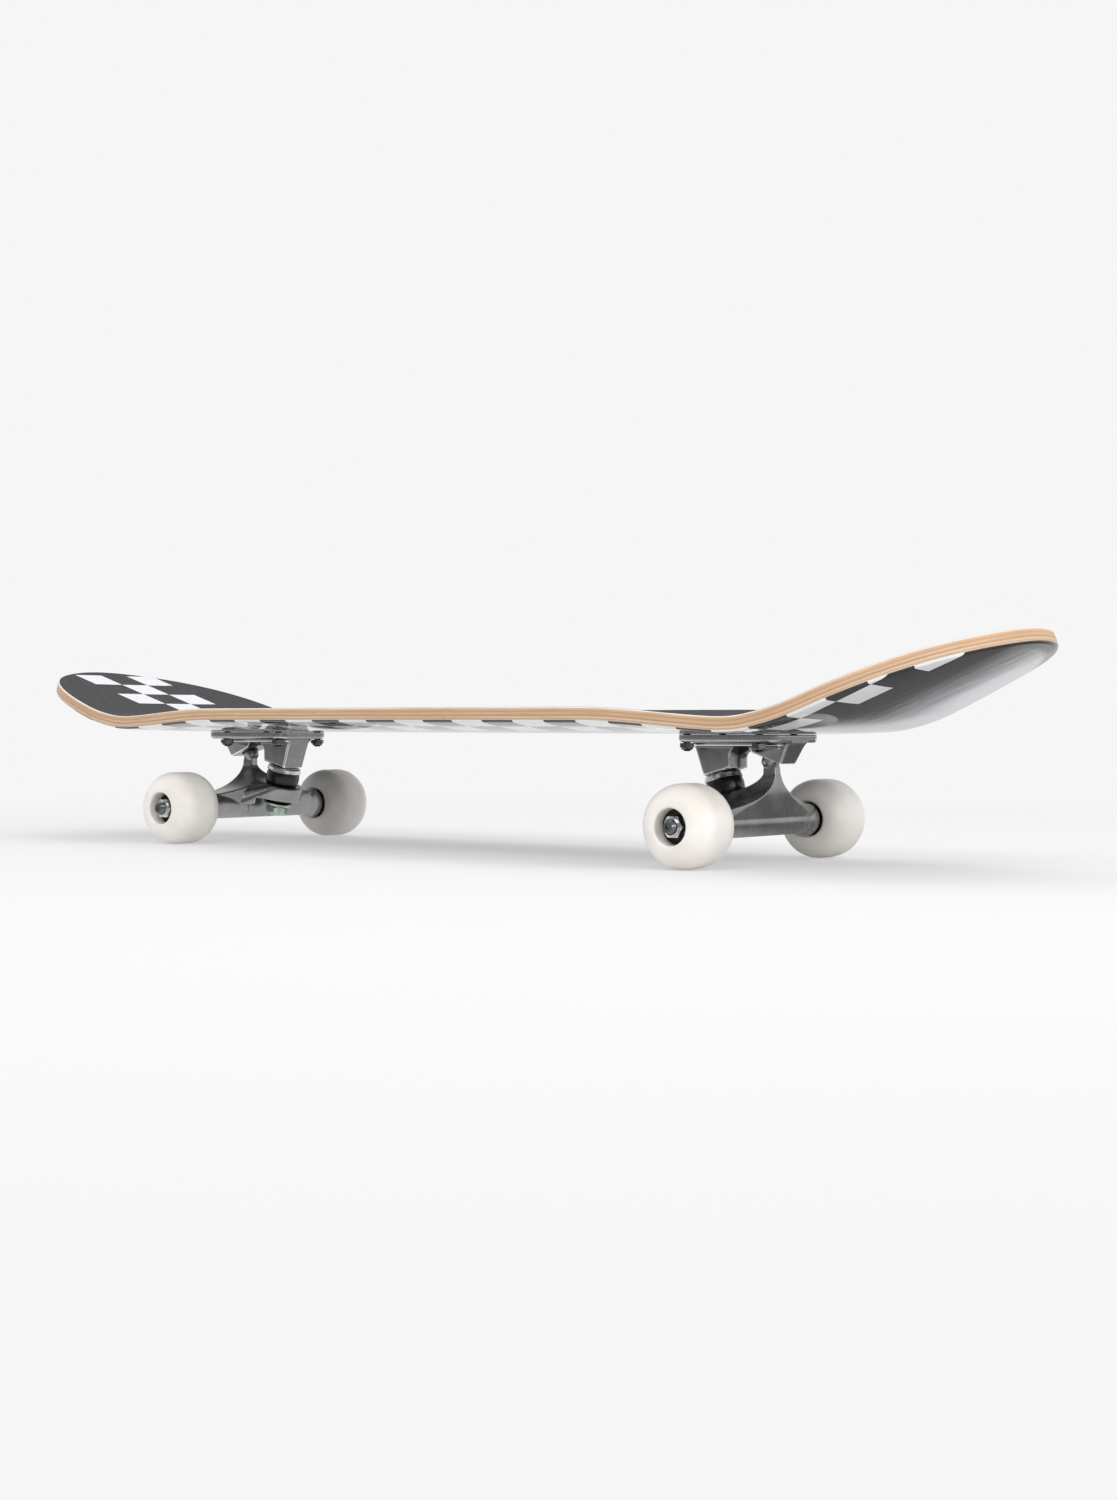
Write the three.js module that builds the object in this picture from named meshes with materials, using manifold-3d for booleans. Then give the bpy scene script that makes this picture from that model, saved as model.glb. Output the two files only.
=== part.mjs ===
// A street skateboard: a seven-ply double-kick deck with grip tape, two traditional-kingpin trucks
// and four urethane wheels on 608 bearings. Millimetres, +Z up, +X toward the tail, -Y to the rider's
// right. The origin is on the floor, under the middle of the board's length and width.
import * as THREE from 'three';
import { ConvexGeometry } from 'three/addons/geometries/ConvexGeometry.js';
import { mergeVertices } from 'three/addons/utils/BufferGeometryUtils.js';
import Module from 'manifold-3d';

const wasm = await Module();
wasm.setup();

// ---------------------------------------------------------------------------------------------
// Sizes
// ---------------------------------------------------------------------------------------------

const seatGap = 0.3; // clearance between two pieces that seat on each other
const overrun = 1; // how far a cutter runs past what it cuts, and a joined body into its neighbour

// Deck. The lengths of an end are measured along the curved board from the middle of the wheelbase.
const deckWidth = 197.5;
const plyStack = 8.6; // thickness of the pressed plies
const gripThickness = 0.7;
const gripInset = 0.4; // how far the grip tape stops short of the deck's edge
const flatWidth = 52; // the middle of the deck, dead flat across, that the trucks bolt to
const railRise = 8.1; // how far the concave lifts the rails between the trucks
const concavePower = 1.85; // how late across the width the concave lifts
const topEdgeEase = 0.8; // chamfer under the grip tape
const bottomEdgeRound = 2.6; // rounding of the deck's lower edge
const roundMiddle = 1 - Math.SQRT1_2; // share of a rounding that its middle point stands in from each side
const axleSpacing = 446.6;

const nose = {
  side: -1, reach: 413, kickStart: 257.5, kickRadius: 157, kickAngle: THREE.MathUtils.degToRad(16.9),
  roundLength: 120.5, roundPower: 2, fadeLength: 82, kickRailRise: 2.3, tipRailRise: 4.6,
};
const tail = {
  side: 1, reach: 425.5, kickStart: 250.5, kickRadius: 160, kickAngle: THREE.MathUtils.degToRad(21.7),
  roundLength: 150, roundPower: 2.07, fadeLength: 98, kickRailRise: 1.7, tipRailRise: 7.4,
};

// Wheel, turned about the axle. Its own frame has the wheel's middle at y = 0.
const wheelRadius = 26;
const wheelWidth = 41.2;
const wheelShoulder = { radial: 13, axial: 14.5, steps: 4 }; // the elliptic turn from the tread into the side
const hubLipRadius = 12.9; // where the side face rolls into the hub recess
const hubRollDepth = 1.6;
const hubRollMiddle = 0.3; // share of the roll's width and depth that its middle point stands at
const coreBoreRadius = 8.2;

// 608 bearing, its spacer and its speed washers.
const bearingRadius = 11;
const bearingWidth = 7;
const bearingInnerRadius = 6.6; // inner edge of the shield
const raceRadius = 6.2;
const spacerRadius = 5.2;
const spacerLength = 9;
const speedWasher = 1;

// Axle and its lock nuts.
const endEase = 0.7; // chamfer on the end of an axle or a screw
const axleRadius = 4;
const axleNutFlats = 12.7;
const axleNutHeight = 6;
const axleNutChamfer = 0.9;
const axleStub = 3.4; // threaded end beyond the nut

// Truck. Its own frame has the axle's middle at the origin, +X outboard and +Z up.
const truckHeight = 55.3; // from the axle to the baseplate's mounting face
const hangerFace = 66.9; // from the middle of the hanger to the face that the wheel stack seats on

// Baseplate. Depths are measured down from its mounting face.
const plateLength = 78;
const plateWidth = 53.4;
const plateThickness = 5;
const plateCorner = 9;
const plateMiddle = -8.5; // the plate sits a little inboard of the axle
const boltMiddle = -13.9; // the bolts sit further inboard than the plate's middle
const boltSpacingLong = 54;
const boltSpacingWide = 41.3;
const blockWidth = 22; // width of the cast block under the plate
const blockEdgeBevel = 1;
const blockHeelTop = -43.4; // inboard end of the kingpin block at the plate
const archMiddle = -6.8;
const archRadius = 9.2;
const archCrown = 1.4; // metal left between the arch and the plate
const archEnd = THREE.MathUtils.degToRad(25); // how far above level the arch runs into the pivot boss
const pivotBossToe = { x: 21.5, depth: 18.5 }; // lower outboard corner of the pivot boss
const pivotBossTop = 28.6; // outboard end of the boss at the plate

// Kingpin and what it carries, in order from the seat down.
const kingpinTilt = THREE.MathUtils.degToRad(15);
const kingpinSeat = { x: -27.3, depth: 24.8 };
const seatLength = 17;
const kingpinRadius = 4.76;
const kingpinHeadFlats = 14;
const kingpinHeadHeight = 6;
const kingpinHeadTop = 23.1; // from the seat to the top of the head
const kingpinStub = 1.2;
const cupWasherRadius = 12.7;
const cupWasherDepth = 4; // how far the cup's rim reaches down round the bushing
const roadWasherRadius = 10.5;
const washerThickness = 1.6;
const washerWall = 1; // thickness of a washer's rim
const washerLip = 1.2; // chamfer round a washer's back
const boardBushingHeight = 12;
const boardBushingRadius = 12.4;
const ringThickness = 10.5;
const roadBushingHeight = 4;
const roadBushingTopRadius = 10.4;
const roadBushingEndRadius = 8.2;
const bushingEase = 0.7; // chamfer round the ends of a bushing
const kingpinNutFlats = 14.3;
const kingpinNutHeight = 6;
const boreClearance = 0.4; // radial play of the kingpin in what it passes through

// Hanger.
const pivot = { x: 9.3, depth: 15.3 }; // middle of the pivot where it enters its cup
const pivotRadius = 4.4;
const pivotTipRadius = 3.7;
const pivotLength = 12;
const pivotTaper = 4.5; // where the pivot starts to narrow toward its tip
const knuckleRadius = 4.8; // the round shoulder where the arm turns into the pivot
const knuckleLength = 3.5;
const knuckleTaper = { length: 3, share: 0.75 }; // its end inside the arm
const pivotCupWall = 1.2;
const pivotCupLip = 3.6; // from the pivot's middle up to the cup's lip
const ringRadius = 16.5;
const ringEase = 1; // chamfer round the ring's rim
const ringHoleRadius = 7.6;
const ringFlare = 30; // half width where the ring's skirt runs into the axle housing
const skirtRoots = [99, 135, 171].map(THREE.MathUtils.degToRad); // where it meets the housing, round the axle
const skirtSink = 0.97; // share of the housing's radius that the skirt's roots stand at
const housingRadius = 10.4;
const housingKeel = 8.8; // depth of the flat underneath the housing, below the axle
const keelReach = 50;
const collarRadius = 11;
const collarLength = 6;
const collarEase = 1.2; // chamfer at the collar's end
const collarRun = 5; // how far the collar takes to run into the housing
const faceRadius = 7.6; // the small face inside the wheel that the speed washer seats on
const armTopGap = 2.2; // from the pivot's middle down to the top of the arm
const armTop = { inner: 4.2, outer: 4.2, half: 2.9 }; // inboard and outboard of the pivot, and to each side
const armNeck = { share: 0.8, half: 3.5 }; // lower down, where the arm starts to spread
const armPull = 3; // how far the arm's side view bows outward
const webRoot = { out: 1.6, rise: 0.9, inner: 0.8 }; // where the web's side view meets the housing
const webBend = { share: 0.36, half: 9 }; // pulls the flank of the web in toward the arm
const webHalfWidth = 57;
const webMiddle = { inner: 14, outer: 13.6, half: 13 }; // plan of the web behind the arm
const webEnd = { inner: 4.6, outer: 5.4, rise: 8.6 }; // its plan and height where it meets the housing's ends
const nutPocketHalfWidth = 22.6;
const nutPocketClearance = 1.9; // between the road-side washer and the wall of the pocket
const nutPocketCorner = 9;

// Mounting hardware: countersunk machine screws and lock nuts.
const boltRadius = 2.4;
const boltHeadRadius = 4.7;
const boltHeadHeight = 3;
const boltLength = 20.6;
const boltNutFlats = 9.4;
const boltNutHeight = 4.5;
const boltHoleClearance = 0.5;

// Facets round a full turn.
const wheelSides = 24;
const roundSides = 16;
const hiddenSides = 12; // pieces that a wheel or a plate covers
const boltSides = 8;
const arcSteps = 4; // in each arc of an extruded outline; a round hole takes twice as many

// ---------------------------------------------------------------------------------------------
// Finishes
// ---------------------------------------------------------------------------------------------

const finish = {
  maple: () => new THREE.MeshStandardMaterial({ color: 0xd9b48a, roughness: 0.6, metalness: 0 }),
  grip: () => new THREE.MeshStandardMaterial({ color: 0x2b2b2e, roughness: 0.95, metalness: 0 }),
  urethane: () => new THREE.MeshStandardMaterial({ color: 0xe9e6df, roughness: 0.45, metalness: 0 }),
  castMetal: () => new THREE.MeshStandardMaterial({ color: 0x77797b, roughness: 0.35, metalness: 0.9 }),
  steel: () => new THREE.MeshStandardMaterial({ color: 0xb9bcbe, roughness: 0.25, metalness: 1 }),
  blackSteel: () => new THREE.MeshStandardMaterial({ color: 0x1d1e20, roughness: 0.4, metalness: 0.8 }),
  zinc: () => new THREE.MeshStandardMaterial({ color: 0xa9b5ae, roughness: 0.3, metalness: 1 }),
  rubber: () => new THREE.MeshStandardMaterial({ color: 0x18181a, roughness: 0.5, metalness: 0 }),
};

// ---------------------------------------------------------------------------------------------
// Geometry helpers
// ---------------------------------------------------------------------------------------------

/** Merges shared vertices, drops collapsed triangles and turns every face outward. */
function weld(geometry) {
  const bare = geometry.clone();
  bare.deleteAttribute('normal');
  bare.deleteAttribute('uv');
  const merged = mergeVertices(bare, 1e-4);
  const corners = merged.index.array;
  const place = merged.attributes.position;
  const kept = [];
  let volume = 0;
  const [a, b, c] = [new THREE.Vector3(), new THREE.Vector3(), new THREE.Vector3()];
  for (let i = 0; i < corners.length; i += 3) {
    const [p, q, r] = [corners[i], corners[i + 1], corners[i + 2]];
    if (p === q || q === r || r === p) continue;
    kept.push(p, q, r);
    const facing = b.fromBufferAttribute(place, q).cross(c.fromBufferAttribute(place, r));
    volume += a.fromBufferAttribute(place, p).dot(facing);
  }
  merged.setIndex(volume < 0 ? kept.reverse() : kept);
  return merged;
}

/** A closed geometry as a solid that can be joined and cut. */
function solid(geometry) {
  const welded = weld(geometry);
  return new wasm.Manifold(new wasm.Mesh({
    numProp: 3,
    vertProperties: new Float32Array(welded.attributes.position.array),
    triVerts: new Uint32Array(welded.index.array),
  }));
}

/** A solid as a geometry again. */
function shaped(body) {
  const mesh = body.getMesh();
  const geometry = new THREE.BufferGeometry();
  geometry.setAttribute('position', new THREE.BufferAttribute(new Float32Array(mesh.vertProperties), 3));
  geometry.setIndex(Array.from(mesh.triVerts));
  geometry.computeVertexNormals();
  return geometry;
}

/** A named mesh of one piece. */
function piece(name, geometry, material) {
  const mesh = new THREE.Mesh(geometry, material);
  mesh.name = name;
  return mesh;
}

/** A solid of revolution about Y from points of radius and height; the outline closes on itself. */
function turned(points, sides) {
  const outline = points.map(([radius, y]) => new THREE.Vector2(radius, y));
  if (points[0][0] > 0) outline.push(outline[0].clone());
  return new THREE.LatheGeometry(outline, sides);
}

/** A plain round bar along Y between two heights. */
function bar(radius, from, to, sides) {
  return turned([[0, from], [radius, from], [radius, to], [0, to]], sides);
}

/** An outline of x and y points, extruded up +Z from zero. */
function plate(outline, thickness, bevel = 0, holes = []) {
  const shape = outline instanceof THREE.Shape ? outline : new THREE.Shape(outline);
  shape.holes.push(...holes);
  const settings = { depth: thickness - 2 * bevel, bevelEnabled: bevel > 0, curveSegments: arcSteps };
  if (bevel > 0) {
    Object.assign(settings, { bevelThickness: bevel, bevelSize: bevel, bevelOffset: -bevel, bevelSegments: 1 });
  }
  return new THREE.ExtrudeGeometry(shape, settings).translate(0, 0, bevel);
}

/** A round hole for an extruded outline, whose flats stand at the radius. */
function roundHole(x, y, radius) {
  return new THREE.Path().absarc(x, y, radius / Math.cos(Math.PI / (2 * arcSteps)), 0, 2 * Math.PI, true);
}

/** A hexagon with its flats a given distance apart. */
function hexagon(flats) {
  const corner = flats / Math.sqrt(3);
  return new THREE.Shape(Array.from({ length: 6 }, (_, i) => {
    const angle = (i * Math.PI) / 3;
    return new THREE.Vector2(corner * Math.cos(angle), corner * Math.sin(angle));
  }));
}

/** A hex nut standing on z = 0, with the corners of its outer end eased by a chamfer. */
function hexNut(flats, height, boreRadius, chamfer) {
  const corner = flats / Math.sqrt(3);
  const blank = solid(plate(hexagon(flats), height, 0, [roundHole(0, 0, boreRadius)]));
  if (chamfer === 0) return blank;
  const envelope = turned([[0, -overrun], [corner + overrun, -overrun], [corner + overrun, height - chamfer / 2],
    [corner - chamfer, height], [0, height]], roundSides).rotateX(Math.PI / 2);
  return blank.intersect(solid(envelope));
}

// ---------------------------------------------------------------------------------------------
// Deck and grip tape
// ---------------------------------------------------------------------------------------------

const axleHeight = wheelRadius;
const deckUnderside = axleHeight + truckHeight + seatGap;
const deckTop = deckUnderside + plyStack;
const gripTop = deckTop + seatGap + gripThickness;

/** Distance out, height gained and slope of the board's middle line, at a length along it. */
function middleLine(end, along) {
  const turn = THREE.MathUtils.clamp((along - end.kickStart) / end.kickRadius, 0, end.kickAngle);
  const straight = Math.max(along - end.kickStart - end.kickRadius * end.kickAngle, 0);
  return {
    out: Math.min(along, end.kickStart) + end.kickRadius * Math.sin(turn) + straight * Math.cos(end.kickAngle),
    rise: end.kickRadius * (1 - Math.cos(turn)) + straight * Math.sin(end.kickAngle),
    slope: turn,
  };
}

/** How far the rail stands above the board's middle line. */
function railAt(end, along) {
  const pocket = end.kickStart + end.fadeLength / 5;
  const fade = THREE.MathUtils.smoothstep(along, end.kickStart - end.fadeLength, pocket);
  const climb = THREE.MathUtils.clamp((along - pocket) / (end.reach - pocket), 0, 1);
  return railRise + (end.kickRailRise - railRise) * fade + (end.tipRailRise - end.kickRailRise) * climb;
}

/** A point of the board: along and across it, and a depth below the deck's upper face. */
function boardPoint(end, along, across, depth) {
  const { out, rise, slope } = middleLine(end, along);
  const beyondFlat = Math.max(Math.abs(across) - flatWidth / 2, 0) / ((deckWidth - flatWidth) / 2);
  const lift = railAt(end, along) * beyondFlat ** concavePower - depth;
  return [end.side * (out - Math.sin(slope) * lift), across, deckTop + rise + Math.cos(slope) * lift];
}

/** The rows that cross one end of the board, from the middle outward: place, half width, plan normal. */
function outlineRows(end) {
  const roundStart = end.reach - end.roundLength;
  const fadeStart = end.kickStart - end.fadeLength;
  const straightRows = 8;
  const roundRows = 8;
  const rows = [{ along: 0, half: deckWidth / 2, normal: [0, 1] }];
  for (let i = 0; i < straightRows; i += 1) {
    const along = fadeStart + ((roundStart - fadeStart) * i) / straightRows;
    rows.push({ along, half: deckWidth / 2, normal: [0, 1] });
  }
  for (let i = 0; i <= roundRows; i += 1) {
    const angle = (Math.PI / 2) * (i / roundRows);
    const [sine, cosine] = [Math.sin(angle), i === roundRows ? 0 : Math.cos(angle)];
    const share = 2 / end.roundPower;
    const normal = new THREE.Vector2(
      sine ** (2 - share) / end.roundLength, cosine ** (2 - share) / (deckWidth / 2));
    rows.push({
      along: roundStart + end.roundLength * sine ** share,
      half: (deckWidth / 2) * cosine ** share,
      normal: normal.normalize().toArray(),
    });
  }
  return rows;
}

/** A board-shaped sheet. Its edge is a list of inset and depth steps, from the upper face to the lower. */
function boardSheet(edge) {
  const flatShare = flatWidth / deckWidth;
  const steps = [0, 1 / 3, 2 / 3, 1].map((step) => flatShare + (1 - flatShare) * step);
  const columns = [...steps.toReversed().map((share) => -share), ...steps];
  const rows = [
    ...outlineRows(nose).slice(1).reverse().map((row) => ({ ...row, end: nose })),
    ...outlineRows(tail).map((row) => ({ ...row, end: tail })),
  ];
  const loop = (row) => {
    const at = ([inset, depth], share) => boardPoint(
      row.end, row.along - row.normal[0] * inset, share * Math.max(row.half - row.normal[1] * inset, 0), depth);
    return [
      ...columns.map((share) => at(edge[0], share)),
      ...edge.slice(1, -1).map((step) => at(step, 1)),
      ...columns.toReversed().map((share) => at(edge.at(-1), share)),
      ...edge.slice(1, -1).toReversed().map((step) => at(step, -1)),
    ];
  };
  const loops = rows.map(loop);
  const around = loops[0].length;
  const places = loops.flat();
  const index = [];
  // Each face is split along its higher diagonal, so the sheets of two facing surfaces match.
  for (let i = 0; i + 1 < loops.length; i += 1) {
    for (let j = 0; j < around; j += 1) {
      const [a, b] = [i * around + j, i * around + ((j + 1) % around)];
      const [c, d] = [b + around, a + around];
      const rising = places[a][2] + places[c][2] > places[b][2] + places[d][2];
      index.push(...(rising ? [a, b, c, a, c, d] : [a, b, d, b, c, d]));
    }
  }
  // At each tip the last loop folds into one line down the edge, which closes the sheet.
  const geometry = new THREE.BufferGeometry();
  geometry.setAttribute('position', new THREE.Float32BufferAttribute(places.flat(), 3));
  geometry.setIndex(index);
  return geometry;
}

/** The four bolt places of a truck, on the board. */
function boltPlaces(side) {
  const middle = axleSpacing / 2 + boltMiddle;
  return [[1, -1], [1, 1], [-1, -1], [-1, 1]].map(([long, wide]) => [
    side * (middle + (long * boltSpacingLong) / 2), (side * wide * boltSpacingWide) / 2]);
}

/** Cuts the same upright bar or cone through a body at every bolt place. */
function drilled(body, cutter) {
  let left = body;
  for (const side of [nose.side, tail.side]) {
    for (const [x, y] of boltPlaces(side)) left = left.subtract(solid(cutter.clone().translate(x, y, 0)));
  }
  return left;
}

function makeDeck() {
  const sheet = boardSheet([
    [topEdgeEase, 0], [0, topEdgeEase], [0, plyStack - bottomEdgeRound],
    [bottomEdgeRound * roundMiddle, plyStack - bottomEdgeRound * roundMiddle], [bottomEdgeRound, plyStack]]);
  const headSeat = boltHeadRadius + boltHoleClearance;
  const shank = boltRadius + boltHoleClearance;
  const coneBottom = gripTop - boltHeadHeight;
  const [bottom, top] = [deckUnderside - overrun, gripTop + overrun];
  const cutter = turned([[0, bottom], [shank, bottom], [shank, coneBottom], [headSeat, gripTop],
    [headSeat, top], [0, top]], boltSides).rotateX(Math.PI / 2);
  return piece('deck', shaped(drilled(solid(sheet), cutter)), finish.maple());
}

function makeGripTape() {
  const sheet = boardSheet([[gripInset, -seatGap - gripThickness], [gripInset, -seatGap]]);
  const hole = bar(boltHeadRadius + boltHoleClearance, deckTop, gripTop + overrun, boltSides)
    .rotateX(Math.PI / 2);
  return piece('grip_tape', shaped(drilled(solid(sheet), hole)), finish.grip());
}

// ---------------------------------------------------------------------------------------------
// Truck: the fixed half
// ---------------------------------------------------------------------------------------------

/** A height in the truck's frame from a depth below the mounting face. */
const below = (depth) => truckHeight - depth;

const seat = new THREE.Vector3(kingpinSeat.x, 0, below(kingpinSeat.depth));

// What hangs on the kingpin starts this far from the seat.
const cupWasherStart = seatGap;
const boardBushingStart = cupWasherStart + washerThickness + seatGap;
const ringStart = boardBushingStart + boardBushingHeight + seatGap;
const ringEnd = ringStart + ringThickness;
const roadBushingStart = ringEnd + seatGap;
const roadWasherStart = roadBushingStart + roadBushingHeight + seatGap;
const kingpinNutStart = roadWasherStart + washerThickness + seatGap;
const kingpinEnd = kingpinNutStart + kingpinNutHeight + kingpinStub;

/** Turns a geometry made along +Z so that +Z runs down the kingpin from its seat. */
function onKingpin(geometry) {
  return geometry.rotateY(Math.PI - kingpinTilt).translate(seat.x, seat.y, seat.z);
}

/** A turned piece whose heights are distances down the kingpin. */
function turnedOnKingpin(points, sides) {
  return onKingpin(turned(points, sides).rotateX(Math.PI / 2));
}

const ringMiddle = new THREE.Vector3(0, 0, 1)
  .applyAxisAngle(new THREE.Vector3(0, 1, 0), Math.PI - kingpinTilt)
  .multiplyScalar((ringStart + ringEnd) / 2).add(seat);
const pivotMouth = new THREE.Vector3(pivot.x, 0, below(pivot.depth));
const steerAxis = pivotMouth.clone().sub(ringMiddle).normalize();
const steerRise = Math.asin(steerAxis.z);

// The pivot's cup follows the pivot's outline, a seat's clearance away.
const cupEnd = pivotLength + seatGap + pivotCupWall;

/** A turned piece whose heights run up the steering axis from the pivot's mouth. */
function turnedOnPivot(points, sides) {
  const geometry = turned(points, sides).rotateX(Math.PI / 2).rotateY(Math.PI / 2 - steerRise);
  return geometry.translate(pivotMouth.x, pivotMouth.y, pivotMouth.z);
}

/** An outline drawn in the truck's side view, extruded evenly to both sides of the middle. */
function sideProfile(outline, width, bevel = 0) {
  return plate(outline, width, bevel).rotateX(Math.PI / 2).translate(0, width / 2, 0);
}

function makeBaseplate(prefix) {
  const { Vector2, Shape } = THREE;
  const foot = below(plateThickness - overrun);
  const seatHalf = seatLength / 2;
  const seatPoint = (share) => new Vector2(
    seat.x + share * seatHalf * Math.cos(kingpinTilt), seat.z + share * seatHalf * Math.sin(kingpinTilt));
  const archTop = below(plateThickness + archCrown);
  const archSpring = archTop - archRadius;
  const outline = new Shape([new Vector2(blockHeelTop, foot), seatPoint(-1), seatPoint(1)]);
  outline.lineTo(archMiddle - archRadius, seatPoint(1).y + overrun);
  outline.lineTo(archMiddle - archRadius, archSpring);
  outline.absarc(archMiddle, archSpring, archRadius, Math.PI, archEnd, true);
  outline.lineTo(pivotBossToe.x, below(pivotBossToe.depth));
  outline.lineTo(pivotBossTop, foot);
  const block = solid(sideProfile(outline, blockWidth, blockEdgeBevel));

  const halfLong = plateLength / 2 - plateCorner;
  const halfWide = plateWidth / 2 - plateCorner;
  const slab = new Shape();
  slab.absarc(halfLong, halfWide, plateCorner, 0, Math.PI / 2);
  slab.absarc(-halfLong, halfWide, plateCorner, Math.PI / 2, Math.PI);
  slab.absarc(-halfLong, -halfWide, plateCorner, Math.PI, 1.5 * Math.PI);
  slab.absarc(halfLong, -halfWide, plateCorner, 1.5 * Math.PI, 2 * Math.PI);
  const holes = [[1, 1], [-1, 1], [-1, -1], [1, -1]].map(([long, wide]) => roundHole(
    boltMiddle - plateMiddle + (long * boltSpacingLong) / 2, (wide * boltSpacingWide) / 2,
    boltRadius + boltHoleClearance));
  const flange = solid(plate(slab, plateThickness, 0, holes).translate(plateMiddle, 0, below(plateThickness)));

  const headBore = kingpinHeadFlats / Math.sqrt(3) + boreClearance;
  const shankBore = kingpinRadius + boreClearance;
  const headSeat = kingpinHeadHeight - kingpinHeadTop + seatGap;
  const seatDepth = seatHalf * Math.tan(kingpinTilt) + overrun;
  const kingpinBore = turnedOnKingpin([[0, -2 * kingpinHeadTop], [headBore, -2 * kingpinHeadTop],
    [headBore, headSeat], [shankBore, headSeat], [shankBore, seatDepth], [0, seatDepth]], roundSides);
  const cupBore = pivotRadius + seatGap + pivotCupWall + seatGap;
  const cupPocket = turnedOnPivot([[0, -3 * knuckleLength], [cupBore, -3 * knuckleLength],
    [cupBore, cupEnd + seatGap], [0, cupEnd + seatGap]], roundSides);
  const cast = block.add(flange).subtract(solid(kingpinBore)).subtract(solid(cupPocket));
  return piece(`${prefix}_baseplate`, shaped(cast), finish.castMetal());
}

function makePivotCup(prefix) {
  const inner = pivotRadius + seatGap;
  const outer = inner + pivotCupWall;
  const tip = pivotTipRadius + seatGap;
  const tipMiddle = pivotLength - pivotTipRadius;
  const cup = turnedOnPivot([
    [0, cupEnd], [outer, cupEnd], [outer, pivotCupLip], [inner, pivotCupLip], [inner, pivotTaper], [tip, tipMiddle],
    [tip * Math.SQRT1_2, tipMiddle + tip * Math.SQRT1_2], [0, tipMiddle + tip]], roundSides);
  return piece(`${prefix}_pivot_cup`, shaped(solid(cup)), finish.rubber());
}

function makeKingpin(prefix) {
  const head = plate(hexagon(kingpinHeadFlats), kingpinHeadHeight).translate(0, 0, -kingpinHeadTop);
  const shank = bar(kingpinRadius, overrun - kingpinHeadTop, kingpinEnd, roundSides).rotateX(Math.PI / 2);
  const body = solid(onKingpin(head)).add(solid(onKingpin(shank)));
  return piece(`${prefix}_kingpin`, shaped(body), finish.steel());
}

/** The deep cup washer over the board-side bushing. */
function makeCupWasher(prefix) {
  const bore = kingpinRadius + boreClearance;
  const [start, face, rim] = [cupWasherStart, cupWasherStart + washerThickness, cupWasherStart + cupWasherDepth];
  const washer = turnedOnKingpin([
    [bore, start], [cupWasherRadius - washerLip, start], [cupWasherRadius, start + washerLip],
    [cupWasherRadius, rim], [cupWasherRadius - washerWall, rim], [cupWasherRadius - washerWall, face],
    [bore, face]], roundSides);
  return piece(`${prefix}_board_washer`, shaped(solid(washer)), finish.steel());
}

/** The washer under the road-side bushing, whose chamfered back faces the nut. */
function makeRoadWasher(prefix) {
  const bore = kingpinRadius + boreClearance;
  const [start, end] = [roadWasherStart, roadWasherStart + washerThickness];
  const washer = turnedOnKingpin([
    [bore, start], [roadWasherRadius, start], [roadWasherRadius, end - washerLip / 2],
    [roadWasherRadius - washerLip, end], [bore, end]], roundSides);
  return piece(`${prefix}_road_washer`, shaped(solid(washer)), finish.zinc());
}

function makeBoardBushing(prefix) {
  const bore = kingpinRadius + boreClearance;
  const [start, end] = [boardBushingStart, boardBushingStart + boardBushingHeight];
  const neck = cupWasherRadius - washerWall - seatGap;
  const rim = cupWasherStart + cupWasherDepth + seatGap;
  const bushing = turnedOnKingpin([[bore, start], [neck, start], [neck, rim], [boardBushingRadius, rim],
    [boardBushingRadius, end - bushingEase], [boardBushingRadius - bushingEase, end], [bore, end]], roundSides);
  return piece(`${prefix}_board_bushing`, shaped(solid(bushing)), finish.rubber());
}

function makeRoadBushing(prefix) {
  const bore = kingpinRadius + boreClearance;
  const [start, end] = [roadBushingStart, roadBushingStart + roadBushingHeight];
  const bushing = turnedOnKingpin([[bore, start], [roadBushingTopRadius, start],
    [roadBushingEndRadius, end - bushingEase], [roadBushingEndRadius - bushingEase, end], [bore, end]], roundSides);
  return piece(`${prefix}_road_bushing`, shaped(solid(bushing)), finish.rubber());
}

function makeKingpinNut(prefix) {
  const nut = shaped(hexNut(kingpinNutFlats, kingpinNutHeight, kingpinRadius + boreClearance, axleNutChamfer));
  return piece(`${prefix}_kingpin_nut`, onKingpin(nut.translate(0, 0, kingpinNutStart)), finish.zinc());
}

// ---------------------------------------------------------------------------------------------
// Truck: the hanger and the axle
// ---------------------------------------------------------------------------------------------

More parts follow.
